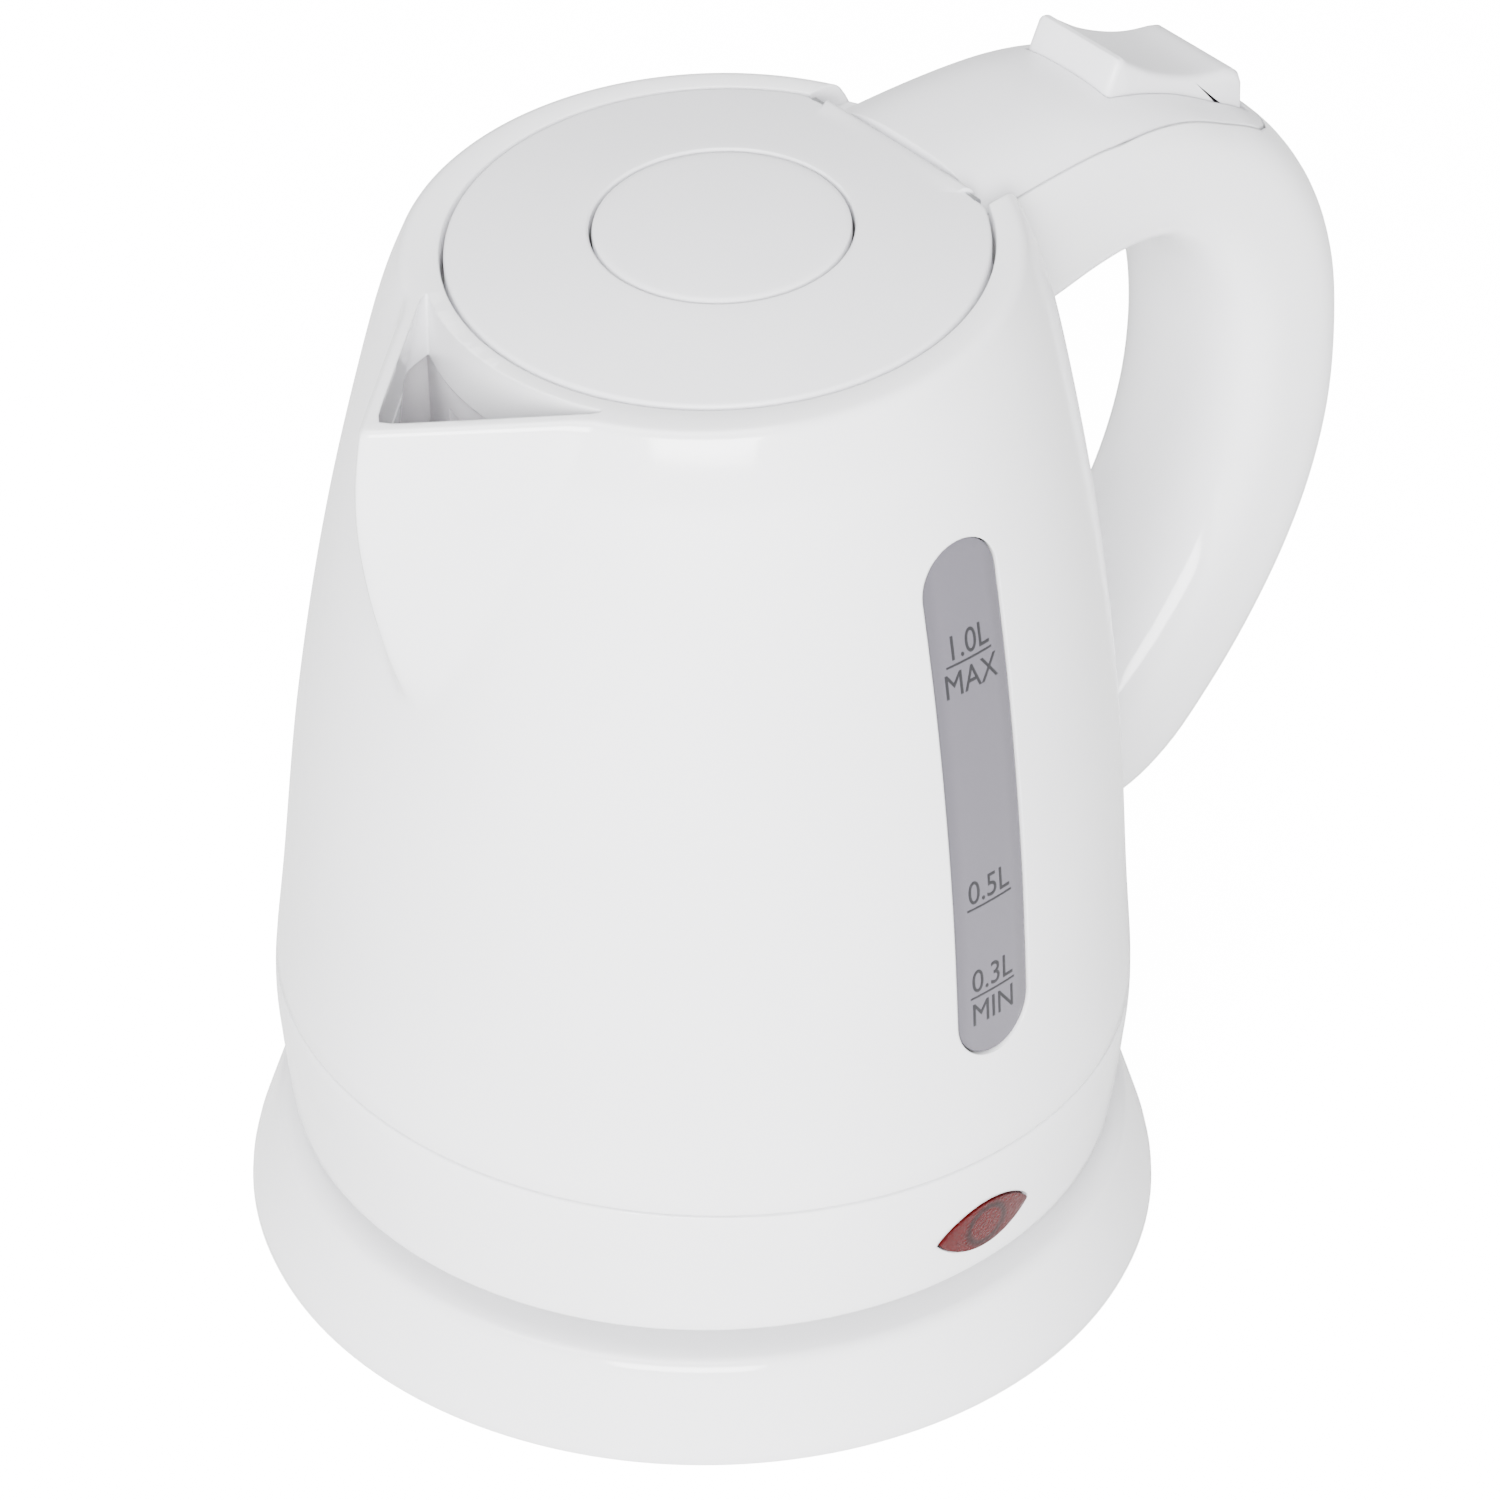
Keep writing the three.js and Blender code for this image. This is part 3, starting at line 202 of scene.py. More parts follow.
def close_loops(obj: bpy.types.Object, picked: Iterable[int], bridge: bool = False) -> None:
    """Fill the loop through some points, or bridge two loops.

    Args:
        obj: the piece.
        picked: indices of the loop's points.
        bridge: join two loops with a band of faces in place of filling one.
    """
    chosen = set(picked)
    for v in obj.data.vertices:
        v.select = v.index in chosen
    for e in obj.data.edges:
        e.select = chosen.issuperset(e.vertices)
    for p in obj.data.polygons:
        p.select = False
    with editing(obj, ""):
        if bridge:
            bpy.ops.mesh.bridge_edge_loops()
        else:
            bpy.ops.mesh.edge_face_add()


def carve(obj: bpy.types.Object, other: bpy.types.Object, how: Cut = Cut.AWAY) -> bpy.types.Object:
    """Cut, add or keep with a second solid, which is used up.

    Args:
        obj: the piece that changes.
        other: the solid that shapes it.
        how: what the second solid does.

    Returns:
        The changed piece.
    """
    only(obj)
    step = obj.modifiers.new("carve", "BOOLEAN")
    step.operation, step.solver, step.object = how.value, "EXACT", other
    bpy.ops.object.modifier_apply(modifier=step.name)
    bpy.data.objects.remove(other, do_unlink=True)
    return obj


def soften(obj: bpy.types.Object, width: float, where: Place, steps: int = 2, sharp: float = 40) -> None:
    """Bevel the sharp edges that lie in a place.

    Args:
        obj: the piece.
        width: bevel width in millimetres.
        where: test of an edge's middle, in millimetres.
        steps: segments of the bevel.
        sharp: least angle in degrees between two faces.
    """
    limit = math.radians(sharp)
    with editing(obj, "DESELECT"):
        form = bmesh.from_edit_mesh(obj.data)
        for edge in form.edges:
            if len(edge.link_faces) == 2 and edge.calc_face_angle(0) > limit:
                edge.select = where((edge.verts[0].co + edge.verts[1].co) / (2 * MM))
        bmesh.update_edit_mesh(obj.data)
        bpy.ops.mesh.bevel(offset=width * MM, segments=steps, affect="EDGES", clamp_overlap=True)


def block(name: str, low: Sequence[float], high: Sequence[float]) -> bpy.types.Object:
    """Box between two corners, in millimetres."""
    obj = fresh(name, bpy.ops.mesh.primitive_cube_add, size=1)
    size, middle = np.subtract(high, low), np.add(high, low) / 2
    obj.data.transform(Matrix.Translation(Vector(middle) * MM) @ Matrix.Diagonal((*(size * MM), 1)))
    return obj


def prism(name: str, outline: Points, axis: int, low: float, high: float) -> bpy.types.Object:
    """Push a flat outline along an axis.

    Args:
        name: name of the solid.
        outline: closed outline in the two other axes, in their order.
        axis: 0, 1 or 2 for X, Y or Z.
        low: where the solid starts along the axis.
        high: where it ends.

    Returns:
        The closed solid.
    """
    return skin(name, [np.insert(np.asarray(outline, float), axis, at, axis=1) for at in (low, high)])


def smooth_line(points: Sequence[Sequence[float]], count: int) -> Points:
    """Sample a curve that runs smoothly through points.

    Args:
        points: the points, in any number of dimensions.
        count: how many steps each span gets.

    Returns:
        The sampled points, ends included.
    """
    given = np.asarray(points, float)
    padded = np.vstack([given[:1], given, given[-1:]])
    made = []
    for i in range(len(given) - 1):
        a, b, c, d = padded[i : i + 4]
        for t in np.linspace(0, 1, count, endpoint=False):
            start, end = (c - a) * 0.5, (d - b) * 0.5
            cubic, square = 2 * b - 2 * c + start + end, 3 * c - 3 * b - 2 * start - end
            made.append(cubic * t**3 + square * t**2 + start * t + b)
    return np.array([*made, given[-1]])


def rounded(corner: Points, before: Points, after: Points, steps: int = 3) -> list[Points]:
    """Points of a soft turn at a corner, between a point before it and one after it."""
    shares = np.linspace(0, 1, steps + 2)
    return [(1 - t) ** 2 * before + 2 * t * (1 - t) * corner + t**2 * after for t in shares]


def turned(name: str, line: Sequence[Sequence[float]], sides: int = 192) -> bpy.types.Object:
    """Spin an outline about the upright axis.

    Args:
        name: name of the piece.
        line: closed outline as radius and height.
        sides: steps round the axis.

    Returns:
        The closed piece.
    """
    outline = np.asarray(line, float)
    obj = fresh(name, bpy.ops.mesh.primitive_circle_add, vertices=len(outline), radius=MM)
    set_points(obj, np.insert(outline, 1, 0, axis=1))
    with editing(obj):
        bpy.ops.mesh.spin(steps=sides, angle=math.tau, center=(0, 0, 0), axis=(0, 0, 1))
    tidy_mesh(obj)
    return obj


def soft_corners(line: Sequence[Sequence[float]], radius: float, steps: int = 3) -> Points:
    """Round every corner of a closed outline.

    Args:
        line: corners in order.
        radius: how far along each side the rounding starts, at most.
        steps: points inside each rounding.

    Returns:
        The outline with its rounded corners.
    """
    corners = np.asarray(line, float)
    made: list[Points] = []
    for i, corner in enumerate(corners):
        ends = []
        for other in (corners[i - 1], corners[(i + 1) % len(corners)]):
            side = other - corner
            length = np.hypot(*side)
            ends.append(corner + side / length * min(radius, length * 0.45))
        made.extend(rounded(corner, *ends, steps))
    return np.array(made)


# ---- Finishes -----------------------------------------------------------------------


@dataclass
class Value:
    """A shader socket that takes part in Python expressions."""

    tree: bpy.types.NodeTree
    socket: bpy.types.NodeSocket

    def _math(self, operation: str, *others: Value | float) -> Value:
        """Add a Math node on this value and others."""
        node = self.tree.nodes.new("ShaderNodeMath")
        node.operation = operation
        for i, given in enumerate((self, *others)):
            if isinstance(given, Value):
                self.tree.links.new(given.socket, node.inputs[i])
            else:
                node.inputs[i].default_value = given
        return Value(self.tree, node.outputs[0])

    def __add__(self, other: Value | float) -> Value:
        """Sum."""
        return self._math("ADD", other)

    def __mul__(self, other: Value | float) -> Value:
        """Product."""
        return self._math("MULTIPLY", other)

    def __sub__(self, other: Value | float) -> Value:
        """Difference."""
        return self._math("SUBTRACT", other)

    def __rsub__(self, other: float) -> Value:
        """Difference from a number."""
        return self * -1.0 + other

    def size(self) -> Value:
        """Value without its sign."""
        return self._math("ABSOLUTE")

    def root(self) -> Value:
        """Square root."""
        return self._math("SQRT")

    def wave(self) -> Value:
        """Sine."""
        return self._math("SINE")

    def least(self, other: Value | float) -> Value:
        """Smaller of two."""
        return self._math("MINIMUM", other)

    def step(self, low: float, high: float) -> Value:
        """Soft step from 0 at one value to 1 at another."""
        node = self.tree.nodes.new("ShaderNodeMapRange")
        node.interpolation_type = "SMOOTHSTEP"
        node.inputs["From Min"].default_value = low
        node.inputs["From Max"].default_value = high
        self.tree.links.new(self.socket, node.inputs["Value"])
        return Value(self.tree, node.outputs["Result"])


class Painter:
    """Builds the nodes of one material."""

    def __init__(self, name: str) -> None:
        """Start an empty material with its main shader.

        Args:
            name: name of the material.
        """
        self.material = bpy.data.materials.new(name)
        self.material.use_nodes = True
        self.tree = self.material.node_tree
        self.shader = self.tree.nodes["Principled BSDF"]
        self.place = self.node("ShaderNodeTexCoord").outputs["Object"]

    def node(self, kind: str, settings: dict | None = None, **inputs: object) -> bpy.types.Node:
        """Add a node.

        Args:
            kind: node type.
            settings: attributes of the node, set first.
            **inputs: value or link of each socket, with _ for a space in its name.

        Returns:
            The node.
        """
        made = self.tree.nodes.new(kind)
        for key, value in (settings or {}).items():
            setattr(made, key, value)
        for key, value in inputs.items():
            self.feed(made.inputs[key.replace("_", " ")], value)
        return made

    def feed(self, socket: bpy.types.NodeSocket, value: object) -> None:
        """Give a socket a value, or link another socket to it."""
        if isinstance(value, Value):
            value = value.socket
        if isinstance(value, bpy.types.NodeSocket):
            self.tree.links.new(value, socket)
        else:
            socket.default_value = value

    def axis(self, name: str) -> Value:
        """One coordinate of the place on the object, in metres."""
        return Value(self.tree, self.node("ShaderNodeSeparateXYZ", Vector=self.place).outputs[name])

    def noise(self, scale: float, detail: float = 2.0, stretch: Three = (1, 1, 1)) -> Value:
        """Soft random pattern.

        Args:
            scale: repeats for each metre.
            detail: how many finer layers it has.
            stretch: factor along each axis.

        Returns:
            The pattern as a value from 0 to 1.
        """
        spot = self.node("ShaderNodeMapping", None, Vector=self.place, Scale=stretch)
        made = self.node("ShaderNodeTexNoise", None, Vector=spot.outputs[0], Scale=scale, Detail=detail)
        return Value(self.tree, made.outputs[0])

    def blend(self, share: Value, first: Three, second: Three) -> bpy.types.NodeSocket:
        """Colour between two colours.

        Args:
            share: how much of the second colour shows.
            first: the first colour.
            second: the second colour.

        Returns:
            The colour's socket.
        """
        mix = self.node("ShaderNodeMix", {"data_type": "RGBA"})
        self.feed(mix.inputs["Factor"], share)
        self.feed(mix.inputs[6], (*first, 1))
        self.feed(mix.inputs[7], (*second, 1))
        return mix.outputs[2]

    def relief(self, height: Value, depth: float, strength: float = 1.0, edge: float = 0.0) -> None:
        """Feed the shader's normal with a fine relief and softened edges.

        Args:
            height: pattern of the relief.
            depth: its height in millimetres.
            strength: share of the relief that shows.
            edge: radius in millimetres that edges look rounded by.
        """
        bump = self.node("ShaderNodeBump", None, Height=height, Distance=depth * MM, Strength=strength)
        if edge:
            soft = self.node("ShaderNodeBevel", {"samples": 6}, Radius=edge * MM)
            self.feed(bump.inputs["Normal"], soft.outputs[0])
        self.feed(self.shader.inputs["Normal"], bump.outputs[0])

    def set(self, **inputs: object) -> None:
        """Set sockets of the main shader, with _ for a space in a name."""
        for key, value in inputs.items():
            self.feed(self.shader.inputs[key.replace("_", " ")], value)


def darker(colour: Three, share: float) -> Three:
    """Colour times a share."""
    return tuple(c * share for c in colour)


@dataclass(frozen=True)
class Finish:
    """Look that a material is made from."""

    name: str

    def make(self) -> bpy.types.Material:
        """Build the material."""
        painter = Painter(self.name)
        self.lay(painter)
        return painter.material

    def lay(self, p: Painter) -> None:
        """Add the nodes."""
        raise NotImplementedError


@dataclass(frozen=True)
class Plastic(Finish):
    """Moulded plastic with a faint mottle and a fine moulded skin."""

    colour: Three
    roughness: float
    grain: float = 900.0
    depth: float = 0.01
    edge: float = 0.35
    coat: float = 0.0
    mottle: float = 0.97

    def lay(self, p: Painter) -> None:
        """Add the nodes."""
        cloud = p.noise(22, 3)
        p.set(Base_Color=p.blend(cloud.step(0.3, 0.7), darker(self.colour, self.mottle), self.colour))
        p.set(Roughness=p.noise(160, 4) * 0.06 + (self.roughness - 0.03), IOR=1.5, Coat_Weight=self.coat)
        p.set(Coat_Roughness=0.06)
        p.relief(p.noise(self.grain, 3), self.depth, 1.0, self.edge)


@dataclass(frozen=True)
class Metal(Finish):
    """Bare metal with brushed lines along one axis."""

    colour: Three
    roughness: float
    stretch: Three = (1.0, 30.0, 30.0)

    def lay(self, p: Painter) -> None:
        """Add the nodes."""
        lines = p.noise(120, 4, self.stretch)
        p.set(Metallic=1.0, Roughness=lines * 0.18 + (self.roughness - 0.09))
        p.set(Base_Color=p.blend(p.noise(60, 2).step(0.35, 0.7), darker(self.colour, 0.86), self.colour))
        p.relief(lines, 0.006)


@dataclass(frozen=True)
class SmokedWindow(Finish):
    """Smoked clear plastic of the water gauge, with painted shade: darker along its edges and towards its
    top.
    """

    colour: Three = (0.105, 0.098, 0.12)
    centre_x: float = 2.0
    half: float = 7.0

    def lay(self, p: Painter) -> None:
        """Add the nodes."""
        # Painted shade: the colour darkens towards the window's sides and towards its top, plus a faint
        # random mottle.
        side = (p.axis("X") - self.centre_x * MM).size()
        edge = side.step(self.half * 0.62 * MM, self.half * MM)
        height = p.axis("Z").step(0.07, 0.15)
        shade = (edge * 0.55 + height * 0.25 + p.noise(30, 2) * 0.1).least(1.0)
        p.set(Base_Color=p.blend(shade, self.colour, darker(self.colour, 0.72)))
        p.set(Roughness=p.noise(140, 3) * 0.05 + 0.12, Coat_Weight=0.1)
        p.relief(p.noise(700, 2), 0.008, 1.0, 0.3)


@dataclass(frozen=True)
class LampLens(Finish):
    """Red stippled lens over the lamp, with the dark ring of its holder showing through."""

    colour: Three = (0.06, 0.0006, 0.0012)
    centre_z: float = 32.5
    ring: Three = (2.7, 3.6, 4.9)
    stipple: float = 1500.0

    def lay(self, p: Painter) -> None:
        """Add the nodes."""
        x, z = p.axis("X"), p.axis("Z") - self.centre_z * MM
        reach = (x * x + z * z).root()
        start, full, end = (r * MM for r in self.ring)
        band = reach.step(start, full) * (1 - reach.step(full, end))
        cells = p.node("ShaderNodeTexVoronoi", None, Vector=p.place, Scale=self.stipple)
        stipple = Value(p.tree, cells.outputs["Distance"])
        mask = (band * 0.75 + stipple * 0.35).least(1.0)
        p.set(Base_Color=p.blend(mask, self.colour, darker(self.colour, 0.16)))
        p.set(Roughness=stipple * 0.1 + 0.16)
        p.shader.inputs["Specular IOR Level"].default_value = 0.15
        p.relief(stipple, 0.05, 0.6)


@dataclass(frozen=True)
class Gauze(Finish):
    """Woven filter gauze."""

    colour: Three = (0.72, 0.73, 0.74)
    pitch: float = 0.7

    def lay(self, p: Painter) -> None:
        """Add the nodes."""
        turn = math.tau / (self.pitch * MM)
        across, up = (p.axis("Y") * turn).wave(), (p.axis("Z") * turn).wave()
        weave = across * up * 0.5 + 0.5
        p.set(Base_Color=p.blend(weave.step(0.2, 0.8), darker(self.colour, 0.45), self.colour), Roughness=0.5)
        p.relief(weave, 0.2)


@dataclass(frozen=True)
class ClearPlastic(Finish):
    """Clear, faintly milky plastic."""

    colour: Three
    clear: float = 0.5
    roughness: float = 0.2

    def lay(self, p: Painter) -> None:
        """Add the nodes."""
        p.set(Base_Color=p.blend(p.noise(90, 2), darker(self.colour, 0.94), self.colour))
        p.set(Roughness=p.noise(200, 2) * 0.08 + (self.roughness - 0.04), IOR=1.45)
        p.shader.inputs["Transmission Weight"].default_value = self.clear
        p.relief(p.noise(500, 2), 0.01)


@dataclass(frozen=True)
class Paper(Finish):
    """Plain matt sheet under the kettle."""

    colour: Three
    glow: float = 14.0

    def lay(self, p: Painter) -> None:
        """Add the nodes."""
        p.set(Base_Color=p.blend(p.noise(3, 2), darker(self.colour, 0.995), self.colour), Roughness=0.9)
        p.set(Emission_Color=p.node("ShaderNodeLightPath").outputs["Is Camera Ray"])
        p.shader.inputs["Emission Strength"].default_value = self.glow
        p.shader.inputs["Specular IOR Level"].default_value = 0.1


FINISHES = (
    Plastic("white_gloss", (0.83, 0.83, 0.85), 0.13, 260.0, 0.012, 0.45, 0.25),
    Plastic("white_satin", (0.76, 0.76, 0.785), 0.34, 2600.0, 0.02, 0.4),
    Plastic("inner_plastic", (0.74, 0.74, 0.75), 0.5, 1500.0, 0.03),
    SmokedWindow("gauge_clear"),
    ClearPlastic("filter_clear", (0.88, 0.86, 0.89), 0.0, 0.3),
    LampLens("red_lens"),
    ClearPlastic("lamp_glass", (0.9, 0.35, 0.2), 0.6, 0.1),
    Plastic("dark_plastic", (0.035, 0.036, 0.04), 0.5, 1500.0, 0.03, mottle=0.8),
    Plastic("rubber_grey", (0.52, 0.52, 0.53), 0.75, 2200.0, 0.04, mottle=0.9),
    Metal("steel", (0.62, 0.63, 0.65), 0.3),
    Metal("brass", (0.72, 0.52, 0.22), 0.32),
    Gauze("gauze"),
    Plastic("wire_red", (0.36, 0.05, 0.03), 0.5, 1800.0, 0.02, mottle=0.85),
    Plastic("print_grey", (0.008, 0.008, 0.011), 0.6, 3000.0, 0.01, edge=0.0),
)


class Dresser:
    """Makes each finish once and dresses pieces with it."""

    def __init__(self) -> None:
        """Build every finish."""
        self.materials = {finish.name: finish.make() for finish in FINISHES}

    def paint(self, obj: bpy.types.Object, finish: str) -> None:
        """Give an object one finish in all its slots."""
        if not obj.data.materials:
            obj.data.materials.append(self.materials[finish])
        for place in obj.material_slots:
            place.material = self.materials[finish]

    def piece(self, obj: bpy.types.Object, body: str, finish: str, *stands_for: str, slot: str = "") -> None:
        """Smooth, paint and hang up a finished piece.

        Args:
            obj: the piece.
            body: body that it rides on.
            finish: name of its finish.
            *stands_for: nodes that it replaces.
            slot: material slot of the record, if it isn't the finish's name; not used.
        """
        only(obj)
        bpy.ops.object.shade_smooth_by_angle(angle=SMOOTH_ANGLE)
        self.paint(obj, finish)
        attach(obj, body)
        if stands_for:
            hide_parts(*stands_for)
        log.info("%s rides on %s: %d faces", obj.name, body, len(obj.data.polygons))

    def frame_nodes(self, frame: dict) -> None:
        """Dress each node of the frame from the slot that the record gives it.

        Args:
            frame: what the frame loader returned.
        """
        slots = {part["node"]: part["material_slot"] for part in frame["record"]["subparts"]}
        for name, node in frame["nodes"].items():
            self.paint(node, slots[name])


# ---- Shapes that several pieces share -----------------------------------------------


@dataclass
class JugForm:
    """Outer form of the jug, with its spout and its two tilted planes."""

    line: tuple = (
        (66.9, 22.7), (68.4, 36.0), (69.0, 46.8), (67.5, 65.0), (64.8, 98.0),
        (60.1, 131.7), (53.3, 165.0), (49.0, 179.1), (45.8, 185.1),
    )
    ridge: tuple = (
        (-56.0, 121.0), (-61.0, 129.6), (-65.7, 143.7), (-68.6, 158.0), (-69.1, 169.0), (-67.8, 180.0),
        (-66.5, 188.0),
    )
    wall: float = 2.4
    seam: float = 46.8
    seam_slope: float = math.tan(math.radians(-1.89))
    rim: float = 182.1
    rim_tilt: float = math.radians(2.58)
    rim_x: float = 2.3
    spout_bottom: float = 126.0
    spout_half: float = 21.8
    spout_taper: float = 0.55
    nose: float = 0.012
    nose_gain: float = 0.5
    crease: float = 1.6
    fade: float = 60.0

    def __post_init__(self) -> None:
        """Sample the two side lines."""
        self._side = smooth_line(self.line, 24)
        self._ridge = smooth_line(self.ridge, 24)

    def radius(self, z: Points | float) -> Points:
        """Radius of the round form at a height."""
        return np.interp(z, self._side[:, 1], self._side[:, 0])

    def shift(self, z: Points | float) -> Points:
        """How far the form leans to the handle at a height."""
        return self.rim_x * np.clip((np.asarray(z) - self.seam) / (self.rim - self.seam), 0, 1)

    def reach(self, angle: Points, z: Points, inset: float = 0.0) -> Points:
        """Distance of the wall from the jug's own axis, spout included.

        Args:
            angle: direction about the axis.
            z: height of each point.
            inset: how far inside the outer face.

        Returns:
            The distances.
        """
        line = self.spout_reach(angle, z, inset)
        plain = self.radius(z) - inset
        gap = np.clip(1 - np.abs(line - plain) / self.crease, 0, None)
        return np.maximum(line, plain) + gap**2 * self.crease / 4

    def spout_reach(self, angle: Points, z: Points, inset: float = 0.0) -> Points:
        """Distance of the spout's straight side from the axis, or zero away from it."""
        rise = np.clip((z - self.spout_bottom) / (self.rim - self.spout_bottom), 1e-4, 1.2)
        half = self.spout_half * rise**self.spout_taper
        length = self.shift(z) - np.interp(z, self._ridge[:, 1], self._ridge[:, 0]) + self.nose_gain
        foot = np.sqrt(self.radius(z) ** 2 - half**2)
        turn = np.sqrt((angle - math.pi) ** 2 + self.nose**2)
        side = np.hypot(foot - length, half)
        away = length * half / side - inset
        root = np.arctan2(half, foot)
        capped = np.minimum(turn, root)
        facing = np.cos(capped) * half - np.sin(capped) * (foot - length)
        line = away * side / np.maximum(facing, 1e-3)
        near = (z > self.spout_bottom) & (length > foot)
        return np.where(near, line - np.clip(turn - root, 0, None) * self.fade, 0)

    def at(self, angle: Points, z: Points, reach: Points | float) -> Points:
        """Points at a distance from the leaning axis."""
        z = np.broadcast_to(z, angle.shape)
        return np.column_stack([self.shift(z) + reach * np.cos(angle), reach * np.sin(angle), z])

    def hoop(self, angle: Points, z: Points | float, inset: float = 0.0) -> Points:
        """Points of the round form at a height."""
        return self.at(angle, z, self.radius(z) - inset)

    def tilted(self, angle: Points, radius: Points | float, up: float) -> Points:
        """Points round the rim's own axis, at a height over the rim's plane."""
        x, y = radius * np.cos(angle), radius * np.sin(angle)
        return self.from_rim(np.column_stack([x, y, np.full(len(angle), up)]))

    def from_rim(self, points: Points) -> Points:
        """Move points from the rim's own frame into the kettle's."""
        c, s = math.cos(self.rim_tilt), math.sin(self.rim_tilt)
        x, y, z = np.asarray(points, float).T
        return np.column_stack([self.rim_x + x * c - z * s, y, self.rim + x * s + z * c])

    def rim_at(self, x: Points) -> Points:
        """Height of the rim's plane."""
        return self.rim + (x - self.rim_x) * math.tan(self.rim_tilt)

    def seam_at(self, x: Points, gap: float = 0.0) -> Points:
        """Height of the seam's plane."""
        return self.seam + gap + x * self.seam_slope

    def solid(self, name: str, inset: float, low: float, high: float, steps: int = 60) -> bpy.types.Object:
        """Round form without the spout, between two heights."""
        angle = np.linspace(0, math.tau, 192, endpoint=False)
        return skin(name, [self.hoop(angle, z, inset) for z in np.linspace(low, high, steps)])


def jug_angles() -> Points:
    """Directions round the jug, closer together at the spout."""
    spans = ((0, 144, 2.0), (144, 172, 1.0), (172, 188, 0.5), (188, 216, 1.0), (216, 360, 2.0))
    return np.radians(np.concatenate([np.arange(a, b, step) for a, b, step in spans]))


@dataclass
class HandleForm:
    """Form of the handle: a rounded box section between an outer and an inner line."""

    stations: tuple = (
        ((30, 184.6), (30, 150), 20.6), ((44, 185.1), (44, 150.5), 20.4), ((57, 185.4), (57, 151.8), 19.4),
        ((68, 184.9), (68, 153.2), 18.3), ((78, 182.8), (77, 153.6), 17.6), ((88, 179), (85, 152), 17.2),
        ((97, 174), (90.5, 148.4), 17), ((106, 168.4), (94.5, 143.4), 16.9),
        ((114, 160.2), (97.4, 137.6), 16.8), ((121, 148.8), (99.4, 131.2), 16.7),
        ((125.6, 135.5), (100.3, 124), 16.6), ((127.3, 121), (100.3, 115), 16.5),
        ((126.9, 106), (99, 106), 16.4), ((123.6, 92), (96.3, 97), 16.4),
        ((118, 79.5), (92.2, 88.6), 16.4), ((110, 67.6), (86.4, 80.6), 16.5),
        ((101, 57.6), (79.6, 73.4), 16.7), ((91.5, 49.8), (72, 67.4), 17),
        ((80, 46), (64, 63.6), 17.4), ((60, 45.4), (56, 62), 17.8),
    )
    around: int = 56
    power_depth: float = 0.62
    power_side: float = 0.72
    steps: int = 5

    def line(self) -> Points:
        """Stations between the given ones, as rows of outer x, z, inner x, z and half width."""
        return smooth_line([(*o, *i, w) for o, i, w in self.stations], self.steps)

    def top_at(self, x: Points | float) -> Points:
        """Height of the outer line along the upper arm."""
        line = self.line()
        arm = line[: int(np.argmax(line[:, 0]))]
        return np.interp(x, arm[:, 0], arm[:, 1])

    def solid(self, name: str, inset: float = 0.0) -> bpy.types.Object:
        """Closed form of the handle.

        Args:
            name: name of the solid.
            inset: how far inside the outer face.

        Returns:
            The solid.
        """
        angle = np.linspace(0, math.tau, self.around, endpoint=False) + math.pi / self.around
        c, s = np.cos(angle), np.sin(angle)
        along = np.sign(c) * np.abs(c) ** self.power_depth
        across = np.sign(s) * np.abs(s) ** self.power_side
        rings = []
        for ox, oz, ix, iz, half in self.line():
            length = math.hypot(ox - ix, oz - iz)
            deep = along * (length / 2 - inset)
            x = (ox + ix) / 2 + (ox - ix) / length * deep
            z = (oz + iz) / 2 + (oz - iz) / length * deep
            rings.append(np.column_stack([x, across * (half - inset), z]))
        return skin(name, rings)


@dataclass
class CoverPlan:
    """Plan and depth of the satin cover in the top of the handle."""

    front: float = 40.6
    halves: tuple = ((40.6, 20.4), (56.0, 18.4), (70.0, 16.2), (84.0, 14.6), (100.0, 13.2))
    rear: float = 109.0
    depth: float = 5.4
    bay: tuple = (74.2, 106.1, 9.6)

    def blank(self, name: str, handle: HandleForm, grow: float) -> bpy.types.Object:
        """Solid that the cover fills, grown by a gap.

        Args:
            name: name of the solid.
            handle: form of the handle.
            grow: gap in millimetres.

        Returns:
            The solid.
        """
        side = smooth_line(self.halves, 6) + (0, grow)
        side[0, 0] -= 4 if grow else 0
        end = self.rear + grow
        nose = [(end - 4, 12.7 + grow), (end - 1.6, 11.4 + grow), (end - 0.4, 9.4 + grow), (end, 7.0)]
        half = np.vstack([side, nose])
        plan = np.vstack([half, half[::-1] * (1, -1)])
        body = prism(name, plan, 2, 120, 220)
        x = np.linspace(self.front - 6, self.rear + 8, 60)
        lean = np.clip((x - 80) / 20, 0, None)
        low = np.column_stack([x - self.depth * 0.25 * lean, handle.top_at(x) - self.depth - grow])
        high = np.column_stack([x[::-1] + 10, np.full(len(x), 215.0)])
        return carve(body, prism("band", np.vstack([low, high]), 1, -40, 40), Cut.KEEP)


# ---- Sub-assemblies -----------------------------------------------------------------


